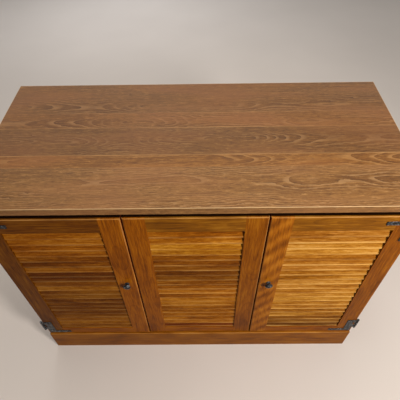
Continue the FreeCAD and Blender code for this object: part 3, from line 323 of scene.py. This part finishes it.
def board_space(tree, node_name, axes, cut):
    """Object coordinates from a board's middle, turned to run along, across and through it.

    cut is the board's number. It sets the board in another length and depth of trunk, with its
    heart line off its middle, so that no two boards share a pattern."""
    own_length, own_depth, heart_step = 0.93, 0.31, 9 * mm
    parts = from_middle(tree, *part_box(node_name))
    along, across, through = (parts["XYZ".index(axis)] for axis in axes)
    moved = add(tree, "ShaderNodeMath", (along, cut * own_length), operation="ADD")
    off_middle = add(tree, "ShaderNodeMath", (across, (cut % 5 - 2) * heart_step), operation="ADD")
    deeper = add(tree, "ShaderNodeMath", (through, cut * own_depth), operation="ADD")
    return add(tree, "ShaderNodeCombineXYZ", (moved, off_middle, deeper))


def near_ends(tree, coordinate, half, width):
    """1 at the two ends of a stretch of this half length, falling to 0 within a width of them."""
    off = add(tree, "ShaderNodeMath", (coordinate,), operation="ABSOLUTE")
    return add(tree, "ShaderNodeMapRange", (off, half - width, half, 0.0, 1.0))


def outline_arrises(tree, low, high, width):
    """1 on the twelve arrises of the block between two corners, falling to 0 within a width."""
    sides = [near_ends(tree, part, half, width)
             for part, half in zip(from_middle(tree, low, high), (high - low) / 2)]
    mask = 0.0
    for one, other in ((0, 1), (1, 2), (2, 0)):
        arris = add(tree, "ShaderNodeMath", (sides[one], sides[other]), operation="MINIMUM")
        mask = add(tree, "ShaderNodeMath", (mask, arris), operation="MAXIMUM")
    return mask


# Maple stained amber brown under satin lacquer: warm, with faint rings, fine fibres and patches
# that took the stain unevenly, a soft sheen, and paler along the outer arrises, partly rubbed wear
# and partly a painted highlight.
def stained_board(node_name, axes, cut, tones, block, curl=0.0, overhang_shade_behind=None):
    """One stained board. tones are its stain's colours, from where it took most to least.

    block has the low and high corners of the glued-up block whose outer arrises are rubbed and
    carry a painted highlight, and curl is how strongly the wood is curly. The last argument, a
    distance or None, is how far behind its face a panel board's upper end is painted near black, a
    painted shadow under the top's overhang; such a board also has its side edges in the gaps
    between panels painted dark red, painted shade in the gaps."""
    wear_and_highlight_width, wear_and_highlight_share = 2.6 * mm, 1.5
    wave_pitch, wave_slant = 36 * mm, math.radians(50)
    wave_unit = 0.314  # the length of one wave of the pattern at a scale of 1
    # Where the painted shade in the gaps between panels starts behind the face, and how far from
    # the middle the gaps lie.
    gap_shade_behind, gap_reach = 3 * mm, 300 * mm
    material, tree, shader = finish(f"amber_stained_maple_{node_name}", 0.36, IOR=1.5,
                                    Specular_IOR_Level=0.05)
    space = board_space(tree, node_name, axes, cut)
    arches = growth_rings(tree, space, 7 * mm, 30 * mm, 20 * mm)
    streaks = drawn_out(tree, space, 150 * mm, 6 * mm, 4.0, 0.7, 2.0)
    hairs = drawn_out(tree, space, 40 * mm, 2 * mm, 3.0, 0.7, 6.0)
    clouds = drawn_out(tree, space, 90 * mm, 45 * mm, 2.0, 0.5, 9.0)
    tone = mixed(tree, 0.02 + curl, (arches, -0.05), (streaks, 0.36 - 2 * curl), (hairs, 0.40),
                 (clouds, 0.26))
    if curl:
        # Curly maple: the fibres wave, and the light catches them in slanting bands.
        slanted = add(tree, "ShaderNodeMapping", (space, None, (0.0, 0.0, wave_slant),
                                                  (wave_unit / wave_pitch,) * 3))
        waves = add(tree, "ShaderNodeTexWave", (slanted, 1.0, 2.0, 1.0, 0.5),
                    wave_type="BANDS", bands_direction="X")
        tone = add(tree, "ShaderNodeMath", (waves.node.outputs["Fac"], curl, tone),
                   operation="MULTIPLY_ADD")
        tone = add(tree, "ShaderNodeMath", (tone, curl / 2), operation="SUBTRACT")
    dark, middle, light = tones
    colour = add(tree, "ShaderNodeValToRGB", (tone,),
                 stops=((0.40, dark), (0.53, middle), (0.68, light)))
    # Paler along the arrises, more in some places than in others: rubbed wear, with a painted
    # highlight where the rounded arrises catch the light.
    wear_and_highlight = outline_arrises(tree, *block, wear_and_highlight_width)
    wear_and_highlight = add(tree, "ShaderNodeMath", (wear_and_highlight, clouds), operation="MULTIPLY")
    wear_and_highlight = add(tree, "ShaderNodeMath", (wear_and_highlight, wear_and_highlight_share), operation="MULTIPLY", use_clamp=True)
    colour = add(tree, "ShaderNodeMix", (wear_and_highlight, colour, linear("#CE9A58")), data_type="RGBA")
    if overhang_shade_behind is not None:
        place = add(tree, "ShaderNodeTexCoord").node.outputs["Object"]
        parts = add(tree, "ShaderNodeSeparateXYZ", (place,)).node.outputs
        low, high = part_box(node_name)
        # Side edges that face a gap between panels are painted dark red inside it: painted shade
        # in the gaps.
        # The doors' outer edges lie beyond the gaps' reach, and are as their faces.
        half_x = (block[1].x - block[0].x) / 2
        edge = near_ends(tree, from_middle(tree, *block)[0], half_x, skin)
        inside = add(tree, "ShaderNodeMath", (parts[1], low.y + gap_shade_behind),
                     operation="GREATER_THAN")
        edge = add(tree, "ShaderNodeMath", (edge, inside), operation="MULTIPLY")
        aside = add(tree, "ShaderNodeMath", (parts[0],), operation="ABSOLUTE")
        inner = add(tree, "ShaderNodeMath", (aside, gap_reach), operation="LESS_THAN")
        edge = add(tree, "ShaderNodeMath", (edge, inner), operation="MULTIPLY")
        colour = add(tree, "ShaderNodeMix", (edge, colour, linear("#7C260A")), data_type="RGBA")
        # The upper end behind the overhang is painted near black: a painted shadow under the top.
        shaded_head = add(tree, "ShaderNodeMath", (parts[2], high.z - skin), operation="GREATER_THAN")
        behind = add(tree, "ShaderNodeMath", (parts[1], low.y + overhang_shade_behind),
                     operation="GREATER_THAN")
        shaded_head = add(tree, "ShaderNodeMath", (shaded_head, behind), operation="MULTIPLY")
        colour = add(tree, "ShaderNodeMix", (shaded_head, colour, linear("#1E0F06")), data_type="RGBA")
    tree.links.new(colour, shader.inputs["Base Color"])
    lacquer(tree, shader, hairs, 0.3, 0.7, (0.30, 0.44), 0.08 * mm)
    paint(material, node_name)


case_tones = ("#764008", "#A26210", "#C08026")
toe_tones = ("#6C3806", "#94560A", "#B2721C")
for cut, (node_name, axes) in enumerate(case_boards.items(), 1):
    tones = toe_tones if node_name == "toe_board" else case_tones
    stained_board(node_name, axes, cut, tones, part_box(node_name))

# -------------------------------------------------------------------------------------------------
# Hidden wood of the case: posts behind the gaps between the panels, base rail, corner blocks, glue
# wedges, dowels. Poplar, planed and left bare.

bare_boards = {
    "left_post": "ZXY", "right_post": "ZXY", "rear_base_rail": "XZY", "corner_blocks": "XYZ",
    "glue_wedges": "XZY", "case_dowels": "XYZ",
}

# Bare planed poplar: matt, pale straw with greyish streaks, darker with age.
first_bare_cut = 20
for cut, (node_name, axes) in enumerate(bare_boards.items(), first_bare_cut):
    material, tree, shader = finish(f"planed_bare_poplar_{node_name}", 0.7)
    space = board_space(tree, node_name, axes, cut)
    streaks = drawn_out(tree, space, 140 * mm, 9 * mm, 3.0, 0.6)
    hairs = drawn_out(tree, space, 30 * mm, 1.2 * mm, 2.0, 0.6, 4.0)
    tone = mixed(tree, 0.0, (hairs, 0.3), (streaks, 0.7))
    colour = add(tree, "ShaderNodeValToRGB", (tone,),
                 stops=((0.35, "#8E6E45"), (0.5, "#B08D5E"), (0.68, "#C6A777")))
    tree.links.new(colour, shader.inputs["Base Color"])
    lacquer(tree, shader, hairs, 0.3, 0.7, (0.62, 0.8), 0.1 * mm)
    paint(material, node_name)

# -------------------------------------------------------------------------------------------------
# The back. One sheet of 4 mm hardboard, its smooth face outwards, nailed over the case's rear
# edges from just under the top to a little above the floor.

# Tempered hardboard: felted fibres under oil, even brown with darker specks, a dull sheen.
hardboard, tree, shader = finish("oil_tempered_hardboard", 0.62)
place = add(tree, "ShaderNodeTexCoord").node.outputs["Object"]
fibres = add(tree, "ShaderNodeTexNoise", (place, 1 / (4 * mm), 4.0, 0.65))
blotches = add(tree, "ShaderNodeTexNoise", (place, 1 / (160 * mm), 2.0, 0.5))
tone = mixed(tree, 0.0, (blotches, 0.5), (fibres, 0.5))
colour = add(tree, "ShaderNodeValToRGB", (tone,),
             stops=((0.36, "#4A3120"), (0.5, "#654730"), (0.64, "#7B5A3E")))
tree.links.new(colour, shader.inputs["Base Color"])
lacquer(tree, shader, fibres, 0.3, 0.7, (0.5, 0.7), 0.05 * mm)
paint(hardboard, "back_panel")

# -------------------------------------------------------------------------------------------------
# The frames of the three panels. Maple stiles and rails, 19 mm, mortised and tenoned, their outer
# arrises moulded round. Each board is its own cut of wood, so each took the stain its own way; the
# left door's top rail and hinge stile are also darker as painted shade, where less light reaches.

panels = {
    "left_door": ("hinge_stile", "lock_stile"), "centre": ("left_stile", "right_stile"),
    "right_door": ("lock_stile", "hinge_stile"),
}
frame_tones = ("#663003", "#955105", "#BA7414")
# Darker tones for the left door's top rail and hinge stile: painted shade, where less light
# reaches the left door and under the top.
falloff_shade_tones = ("#482103", "#6E3C04", "#8E5A10")
half_dark_tones = ("#5A2B03", "#864804", "#A86912")
pale_tones = ("#6E3806", "#A05C0E", "#C68224")
rail_tones = ("#603608", "#88530D", "#B07A24")
board_tones = {
    "left_door_top_rail": falloff_shade_tones, "left_door_hinge_stile": falloff_shade_tones,
    "centre_right_stile": half_dark_tones, "right_door_lock_stile": pale_tones,
    "right_door_hinge_stile": half_dark_tones,
    "centre_top_rail": rail_tones, "right_door_top_rail": rail_tones,
}
curls = {"right_door_lock_stile": 0.10}
# How far behind the face the painted shadow under the top's overhang starts on the panels' upper
# ends; the bottom rails have none.
overhang_shade_behind = 5 * mm
# These boards' numbers come after those of the case's boards.
cut = 41
for panel, (one_stile, other_stile) in panels.items():
    block = (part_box(f"{panel}_{one_stile}")[0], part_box(f"{panel}_{other_stile}")[1])
    for board, axes, shaded_head in ((one_stile, "ZXY", overhang_shade_behind), (other_stile, "ZXY", overhang_shade_behind),
                              ("top_rail", "XZY", overhang_shade_behind), ("bottom_rail", "XZY", None)):
        node_name = f"{panel}_{board}"
        stained_board(node_name, axes, cut, board_tones.get(node_name, frame_tones), block,
                      curls.get(node_name, 0.0), shaded_head)
        cut += 1

# -------------------------------------------------------------------------------------------------
# The louvres. Twenty-one thin maple slats in each panel, leaning with their lower edges forward
# and let into slots in the stiles. They are cut from many boards, so their tones differ.

slat_count = 21
slat_lean = math.radians(13)
slat_width, slat_thick = 28 * mm, 4 * mm
slat_rise = (slat_width - slat_thick) * math.cos(slat_lean) + slat_thick

# The slats' tones, from the foot of a panel to its head: each slat's own stain, with painted light
# over it; the left door's slats are darkest and the right door's palest and faintly pink, as the
# light falls brightest from the right.
slat_tones_and_light = {
    "left_door": ("#C4B088", "#D0BC90", "#A48C68", "#A08864", "#B4A078", "#B4A078", "#D0BC90",
                  "#84644C", "#C8B084", "#BCA47C", "#E8D0A0", "#E0C898"),
    "centre": ("#B48878", "#FFF0CC", "#F4E4C4", "#ECDCC0", "#F0E0C0", "#F4E0C4", "#DCC8A4",
               "#AC9874", "#B49C74", "#D4BC90", "#FFFCD0", "#F4E0B4"),
    "right_door": ("#A89C94", "#D8D0CC", "#FFFFFF", "#F8F0F0", "#FFFFFF", "#FFFAFC", "#F0E8E8",
                   "#FFFFFF", "#ECE0E0", "#F8F0F0", "#FFFFFF", "#E4D8D8"),
}

# How dark the painted shade is where the next slat covers a slat, and how bright the painted
# highlight is along the noses; both follow the light, which is strongest on the right door.
recess_shade_share = {"left_door": 0.35, "centre": 0.3, "right_door": 0.15}
nose_highlight_share = {"left_door": 0.2, "centre": 0.3, "right_door": 0.6}
# Counted back from the noses, the painted highlight is whole up to nose_end and gone at nose_gone,
# and the painted shade starts at cover_starts and is whole at cover_full.
nose_end, nose_gone = 0.3 * mm, 1.1 * mm
cover_starts, cover_full = 4.2 * mm, 6.5 * mm

# How far apart in the wood neighbouring slats are cut, and how much more in each next panel.
slat_step_along, slat_step_up, panel_adds_up = 0.53, 0.37, 7.1

# Stained maple under satin lacquer, thin boards: streaks run their whole length, end to end.
for number, (panel, stain) in enumerate(slat_tones_and_light.items()):
    node_name = f"{panel}_slats"
    material, tree, shader = finish(f"amber_stained_slats_{panel}", 0.34, IOR=1.5,
                                    Specular_IOR_Level=0.08)
    low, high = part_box(node_name)
    pitch = (high.z - low.z - slat_rise) / (slat_count - 1)
    place = add(tree, "ShaderNodeTexCoord").node.outputs["Object"]
    parts = add(tree, "ShaderNodeSeparateXYZ", (place,)).node.outputs
    # A slat's number, from how far its plane lies behind the lowest slat's plane.
    middle_y, foot_z = (low.y + high.y) / 2, low.z + slat_rise / 2
    lowest = middle_y * math.cos(slat_lean) - foot_z * math.sin(slat_lean)
    behind = add(tree, "ShaderNodeMath", (parts[1], math.cos(slat_lean), -lowest),
                 operation="MULTIPLY_ADD")
    behind = add(tree, "ShaderNodeMath", (parts[2], -math.sin(slat_lean), behind),
                 operation="MULTIPLY_ADD")
    slat = add(tree, "ShaderNodeMath", (behind, -1 / (pitch * math.sin(slat_lean)), 0.5),
               operation="MULTIPLY_ADD")
    slat = add(tree, "ShaderNodeMath", (slat,), operation="FLOOR")
    own_z = add(tree, "ShaderNodeMath",
                (slat, slat_step_up + number * panel_adds_up, parts[2]), operation="MULTIPLY_ADD")
    own_x = add(tree, "ShaderNodeMath", (slat, slat_step_along, parts[0]),
                operation="MULTIPLY_ADD")
    space = add(tree, "ShaderNodeCombineXYZ", (own_x, own_z, parts[1]))
    streaks = drawn_out(tree, space, 120 * mm, 5 * mm, 4.0, 0.65, 1.0)
    hairs = drawn_out(tree, space, 24 * mm, 2.6 * mm, 4.0, 0.8, 5.0)
    clouds = drawn_out(tree, space, 170 * mm, 24 * mm, 2.0, 0.5, 8.0)
    # Each slat is also a little paler or darker all over, by a number drawn for it.
    drawn = add(tree, "ShaderNodeMath", (slat, number * 31.0 + 5.0), operation="ADD")
    drawn = add(tree, "ShaderNodeTexWhiteNoise", (drawn,), noise_dimensions="1D")
    tone = mixed(tree, -0.015, (drawn, 0.10), (streaks, 0.25), (hairs, 0.50), (clouds, 0.24))
    colour = add(tree, "ShaderNodeValToRGB", (tone,), stops=(
        (0.38, "#5E3204"), (0.50, "#985C0E"), (0.60, "#C28830"), (0.72, "#E6B46C")))
    # Each slat's stain, with the painted light of its panel over it, by the slat's height.
    height = add(tree, "ShaderNodeMath", (slat, float(slat_count)), operation="DIVIDE")
    strength = add(tree, "ShaderNodeValToRGB", (height,), stops=[
        (step / len(stain), tint) for step, tint in enumerate(stain)])
    colour = add(tree, "ShaderNodeMix", (1.0, colour, strength), data_type="RGBA",
                 blend_type="MULTIPLY")
    # A painted highlight along each slat's nose, in patches, and painted shade where the next slat
    # covers it.
    depth = add(tree, "ShaderNodeMath", (parts[1], low.y), operation="SUBTRACT")
    painted_nose_highlight = add(tree, "ShaderNodeMapRange", (depth, nose_end, nose_gone, nose_highlight_share[panel], 0.0))
    patchy = add(tree, "ShaderNodeMapRange", (clouds, 0.40, 0.60, 0.2, 1.0))
    painted_nose_highlight = add(tree, "ShaderNodeMath", (painted_nose_highlight, patchy), operation="MULTIPLY")
    colour = add(tree, "ShaderNodeMix", (painted_nose_highlight, colour, linear("#EAB868")), data_type="RGBA")
    painted_recess_shade = add(tree, "ShaderNodeMapRange",
                 (depth, cover_starts, cover_full, 0.0, recess_shade_share[panel]))
    colour = add(tree, "ShaderNodeMix", (painted_recess_shade, colour, linear("#3E2006")), data_type="RGBA")
    tree.links.new(colour, shader.inputs["Base Color"])
    lacquer(tree, shader, hairs, 0.3, 0.7, (0.28, 0.44), 0.1 * mm)
    paint(material, node_name)

# -------------------------------------------------------------------------------------------------
# The hinge plates and their knuckles. Mild steel, 1.6 mm, cut to an L on the doors and to a plain
# plate on the case's sides, hammered all over as if forged, and blackened.

hammer_mark, hammer_depth = 5 * mm, 0.35 * mm
plate_grid = 0.6 * mm
# Corners of loose triangles that lie this close are one corner.
same_corner = 0.005 * mm


def hammered(piece, grid):
    """Rounds a piece's arrises on a fine grid and beats shallow dents into it."""
    texture = bpy.data.textures.new(f"{piece.name}_dents", "VORONOI")
    texture.noise_scale = hammer_mark
    texture.noise_intensity = 1.2
    choose(piece)
    remesh = piece.modifiers.new("grid", "REMESH")
    remesh.mode, remesh.voxel_size, remesh.use_smooth_shade = "VOXEL", grid, True
    bpy.ops.object.modifier_apply(modifier=remesh.name)
    dents = piece.modifiers.new("dents", "DISPLACE")
    dents.texture, dents.texture_coords = texture, "LOCAL"
    dents.strength, dents.mid_level = hammer_depth, 1.0
    bpy.ops.object.modifier_apply(modifier=dents.name)


def merged_copy(node_name, name):
    """A free copy of a CAD node's mesh, with its loose triangles merged."""
    piece = bpy.data.objects.new(name, nodes[node_name].data.copy())
    bpy.context.scene.collection.objects.link(piece)
    choose(piece)
    bpy.ops.mesh.customdata_custom_splitnormals_clear()
    bpy.ops.object.mode_set(mode="EDIT")
    bpy.ops.mesh.select_all(action="SELECT")
    bpy.ops.mesh.remove_doubles(threshold=same_corner)
    bpy.ops.object.mode_set(mode="OBJECT")
    return piece


# Blackened iron, oiled: near black with a cold sheen on the crowns between the dents, and brown
# where it has begun to rust.
iron, tree, shader = finish("hammered_blackened_iron", 0.4, Metallic=0.85)
place = add(tree, "ShaderNodeTexCoord").node.outputs["Object"]
scale = add(tree, "ShaderNodeTexNoise", (place, 1 / (7 * mm), 3.0, 0.6))
grit = add(tree, "ShaderNodeTexNoise", (place, 1 / (0.8 * mm), 2.0, 0.6))
colour = add(tree, "ShaderNodeValToRGB", (scale,),
             stops=((0.35, "#1A1817"), (0.52, "#36383C"), (0.66, "#7C8084")))
rust = add(tree, "ShaderNodeTexNoise", (place, 1 / (16 * mm), 3.0, 0.65))
rust = add(tree, "ShaderNodeMapRange", (rust, 0.58, 0.72, 0.0, 0.5))
colour = add(tree, "ShaderNodeMix", (rust, colour, linear("#3A2417")), data_type="RGBA")
tree.links.new(colour, shader.inputs["Base Color"])
lacquer(tree, shader, grit, 0.3, 0.7, (0.32, 0.52), 0.05 * mm)

for side in ("left", "right"):
    for node_name, body in ((f"{side}_door_hinge_leaves", f"{side}_door"),
                            (f"{side}_case_hinge_leaves", "cabinet")):
        plates = merged_copy(node_name, f"forged_{node_name}")
        hammered(plates, plate_grid)
        stand_in(plates, body, "black_iron", node_name)
        paint(iron, plates.name)
    paint(iron, f"{side}_hinge_pins")

# -------------------------------------------------------------------------------------------------
# The hinge screws. Round-headed wood screws of blackened steel, turned, with a sawn slot; six on
# each door and four on each side of the case.

screw_rings = (
    (-12.6, 0.3), (-10.5, 1.0), (-9.5, 1.3), (0.0, 1.3), (0.0, 2.7), (0.35, 2.8), (0.7, 2.5),
    (1.0, 2.0), (1.22, 1.3), (1.3, 0.6),
)
crown = screw_rings[-1][0] * mm
slot_wide, slot_deep = 0.7 * mm, 0.6 * mm


def turned(name, rings, sides):
    """A piece turned on the Z axis, drawn out ring by ring.

    A ring is a height and a radius in millimetres."""
    height, radius = rings[0]
    piece = start(bpy.ops.mesh.primitive_circle_add, name, vertices=sides, radius=radius * mm,
                  fill_type="NGON", location=(0, 0, height * mm))
    settle(piece)
    bpy.ops.object.mode_set(mode="EDIT")
    bpy.ops.mesh.select_all(action="SELECT")
    for (below, narrow), (above, wide) in zip(rings, rings[1:]):
        lift = (0, 0, (above - below) * mm)
        bpy.ops.mesh.extrude_region_move(TRANSFORM_OT_translate={"value": lift})
        bpy.ops.transform.resize(value=(wide / narrow, wide / narrow, 1),
                                 center_override=(0, 0, above * mm))
    bpy.ops.mesh.select_all(action="SELECT")
    bpy.ops.mesh.normals_make_consistent(inside=False)
    bpy.ops.object.mode_set(mode="OBJECT")
    bpy.ops.object.shade_smooth_by_angle(angle=smooth_under)
    return piece


screw = turned("hinge_screw", screw_rings, 20)
saw = start(bpy.ops.mesh.primitive_cube_add, "saw", size=1, location=(0, 0, crown),
            scale=(8 * mm, slot_wide, 2 * slot_deep))
settle(saw)
slot = screw.modifiers.new("slot", "BOOLEAN")
slot.object, slot.operation, slot.solver = saw, "DIFFERENCE", "EXACT"
choose(screw)
bpy.ops.object.modifier_apply(modifier=slot.name)
bpy.data.objects.remove(saw)


def solid_boxes(node_name):
    """The lowest and highest corners of each separate solid of a CAD node."""
    work = bmesh.new()
    work.from_mesh(nodes[node_name].data)
    bmesh.ops.remove_doubles(work, verts=work.verts, dist=same_corner)
    left, boxes = set(work.verts), []
    while left:
        reached = [left.pop()]
        solid = list(reached)
        while reached:
            for edge in reached.pop().link_edges:
                for vertex in edge.verts:
                    if vertex in left:
                        left.remove(vertex)
                        reached.append(vertex)
                        solid.append(vertex)
        boxes.append([Vector(pick(v.co[axis] for v in solid) for axis in range(3))
                      for pick in (min, max)])
    work.free()
    return boxes


def gather(name, copies):
    """Joins copies into one piece."""
    choose(copies[0])
    for copy in copies[1:]:
        copy.select_set(True)
    bpy.ops.object.join()
    copies[0].name = copies[0].data.name = name
    return copies[0]


for side, outward in (("left", -1), ("right", 1)):
    for kind, body, tilt in (("door", f"{side}_door", Matrix.Rotation(math.pi / 2, 4, "X")),
                             ("case", "cabinet", Matrix.Rotation(outward * math.pi / 2, 4, "Y"))):
        node_name = f"{side}_{kind}_hinge_screws"
        copies = []
        for number, (low, high) in enumerate(solid_boxes(node_name)):
            seat = (low + high) / 2
            if kind == "door":
                seat.y = low.y + crown
            else:
                seat.x = high.x - crown if outward > 0 else low.x + crown
            copy = bpy.data.objects.new(f"{node_name}_{number}", screw.data.copy())
            bpy.context.scene.collection.objects.link(copy)
            # Each slot came to rest at its own angle.
            slot_turn = Matrix.Rotation(math.radians(37 * number + 20), 4, "Z")
            copy.data.transform(Matrix.Translation(seat) @ tilt @ slot_turn)
            copies.append(copy)
        screws = gather(f"slotted_{node_name}", copies)
        stand_in(screws, body, "black_iron", node_name)
        paint(iron, screws.name)
bpy.data.objects.remove(screw)

# -------------------------------------------------------------------------------------------------
# The knobs. Cast iron, turned and then hammered to match the hinges, one on each door's lock
# stile, held from behind by a machine screw.

knob_rings = (
    (0.0, 6.4), (0.9, 6.5), (1.6, 6.0), (2.2, 4.9), (3.2, 4.3), (5.5, 4.2), (7.2, 4.6), (8.4, 6.2),
    (8.9, 8.6), (9.3, 9.9), (10.2, 10.4), (11.0, 10.4), (11.8, 9.7), (12.9, 8.2), (13.9, 6.2),
    (14.6, 4.0), (14.95, 1.8), (15.0, 0.5),
)
knob_grid = 0.45 * mm
for side in ("left", "right"):
    low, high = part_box(f"{side}_door_knob")
    knob = turned(f"turned_{side}_door_knob", knob_rings, 32)
    foot = Vector(((low.x + high.x) / 2, high.y, (low.z + high.z) / 2))
    knob.data.transform(Matrix.Translation(foot) @ Matrix.Rotation(math.pi / 2, 4, "X"))
    hammered(knob, knob_grid)
    stand_in(knob, f"{side}_door", "black_iron", f"{side}_door_knob")
    paint(iron, knob.name)

# -------------------------------------------------------------------------------------------------
# Small hardware inside: zinc-plated steel screws, nails, shelf pins and strike plates, and two
# magnetic catches, each a moulded body with a ferrite magnet.

# Zinc plate: grey with a faint blue cast, dulled in patches.
steel, tree, shader = finish("zinc_plated_steel", 0.35, Metallic=1.0)
place = add(tree, "ShaderNodeTexCoord").node.outputs["Object"]
patches = add(tree, "ShaderNodeTexNoise", (place, 1 / (4 * mm), 3.0, 0.6))
colour = add(tree, "ShaderNodeValToRGB", (patches,),
             stops=((0.35, "#8B8D8E"), (0.55, "#A9ABAC"), (0.7, "#BDBFC2")))
tree.links.new(colour, shader.inputs["Base Color"])
lacquer(tree, shader, patches, 0.3, 0.7, (0.28, 0.5), 0.03 * mm)
paint(steel, "back_nails", "catch_screws", "centre_panel_screws", "shelf_pins", "top_screws",
      "left_knob_screw", "right_knob_screw", "left_strike_plate", "right_strike_plate")

# Moulded polystyrene: even dark brown with the fine grain of a spark-eroded mould.
plastic, tree, shader = finish("moulded_brown_polystyrene", 0.45)
place = add(tree, "ShaderNodeTexCoord").node.outputs["Object"]
grain = add(tree, "ShaderNodeTexNoise", (place, 1 / (0.6 * mm), 2.0, 0.5))
colour = add(tree, "ShaderNodeValToRGB", (grain,), stops=((0.3, "#342017"), (0.7, "#40291C")))
tree.links.new(colour, shader.inputs["Base Color"])
lacquer(tree, shader, grain, 0.3, 0.7, (0.4, 0.55), 0.04 * mm)
paint(plastic, "catch_bodies")

# Sintered ferrite, ground flat: dark grey, dull, with grinding marks.
ferrite, tree, shader = finish("ground_sintered_ferrite", 0.55)
place = add(tree, "ShaderNodeTexCoord").node.outputs["Object"]
marks = drawn_out(tree, place, 12 * mm, 0.5 * mm, 2.0, 0.6)
colour = add(tree, "ShaderNodeValToRGB", (marks,), stops=((0.3, "#242426"), (0.7, "#36363A")))
tree.links.new(colour, shader.inputs["Base Color"])
lacquer(tree, shader, marks, 0.3, 0.7, (0.45, 0.65), 0.03 * mm)
paint(ferrite, "catch_magnets")

# -------------------------------------------------------------------------------------------------
# The stage: a plain pale floor under a pale sky, a key lamp high on the front right, a broad soft
# lamp overhead, and a weaker one behind that fills the back.

floor_glow = 0.2
# How strong the sky is as light, and how strong where it is seen.
sky_lights, sky_shows = 0.12, 0.7


def seen_or_mirrored(tree):
    """1 where it is seen directly, mirrored or through glass, and 0 where it only gives light."""
    rays = add(tree, "ShaderNodeLightPath").node.outputs
    seen = rays["Is Camera Ray"]
    for kind in ("Is Glossy Ray", "Is Transmission Ray"):
        seen = add(tree, "ShaderNodeMath", (seen, rays[kind]), operation="MAXIMUM")
    return seen


floor = start(bpy.ops.mesh.primitive_plane_add, "floor", size=12)
# Pale matt floor, with the faintest clouding so that it doesn't look cut out.
pale, tree, shader = finish("pale_matt_floor", 0.9)
place = add(tree, "ShaderNodeTexCoord").node.outputs["Object"]
clouding = add(tree, "ShaderNodeTexNoise", (place, 2.0, 2.0, 0.5))
colour = add(tree, "ShaderNodeValToRGB", (clouding,), stops=((0.3, "#C8BFB7"), (0.7, "#CEC5BD")))
seen = seen_or_mirrored(tree)
colour = add(tree, "ShaderNodeMix", (seen, linear("#8C7858"), colour), data_type="RGBA")
tree.links.new(colour, shader.inputs["Base Color"])
glow = add(tree, "ShaderNodeMath", (seen, floor_glow), operation="MULTIPLY")
shader.inputs["Emission Color"].default_value = linear("#CEC5BD")
tree.links.new(glow, shader.inputs["Emission Strength"])
paint(pale, "floor")


def lamp(name, place, target, width, power, colour):
    """A soft square lamp that faces its target."""
    light = bpy.data.lights.new(name, "AREA")
    light.shape, light.size, light.energy = "SQUARE", width, power
    light.color = linear(colour)[:3]
    stand = bpy.data.objects.new(name, light)
    stand.location = place
    stand.rotation_euler = (Vector(target) - Vector(place)).to_track_quat("-Z", "Y").to_euler()
    bpy.context.scene.collection.objects.link(stand)
    return stand


lamp("key_lamp", (1.02, -1.22, 1.40), (0.1, -0.2, 0.45), 0.3, 31, "#FFF9F4")
lamp("top_lamp", (-0.15, 0.45, 1.95), (-0.05, 0.1, 0.7), 2.2, 19, "#FFF0DC")
# The back's weak fill isn't mirrored, or the top would show it as a bright patch.
fill = lamp("back_lamp", (-0.7, 2.9, 1.5), (0.0, 0.24, 0.3), 1.2, 25, "#F4F8FF")
fill.visible_glossy = False

world = bpy.data.worlds.new("pale_sky")
bpy.context.scene.world = world
world.use_nodes = True
background = world.node_tree.nodes["Background"]
background.inputs["Color"].default_value = linear("#ECEAE6")
# The sky lights the cabinet weakly, but is seen, and mirrored, as a pale background.
strength = add(world.node_tree, "ShaderNodeMapRange",
               (seen_or_mirrored(world.node_tree), 0.0, 1.0, sky_lights, sky_shows))
world.node_tree.links.new(strength, background.inputs["Strength"])

# Camera: someone standing close looks down on the front.
eye = Vector((0.01742, -0.75291, 1.33176))
turn_left, look_down, tip = (math.radians(angle) for angle in (0.77, 48.43, 1.14))
camera_data = bpy.data.cameras.new("camera")
camera_data.sensor_width, camera_data.lens = 36.0, 35.2
camera = bpy.data.objects.new("camera", camera_data)
camera.location = eye
camera.rotation_euler = (Matrix.Rotation(turn_left, 3, "Z")
                         @ Matrix.Rotation(math.pi / 2 - look_down, 3, "X")
                         @ Matrix.Rotation(-tip, 3, "Z")).to_euler()
bpy.context.scene.collection.objects.link(camera)
bpy.context.scene.camera = camera
bpy.context.scene.view_settings.view_transform = "Standard"
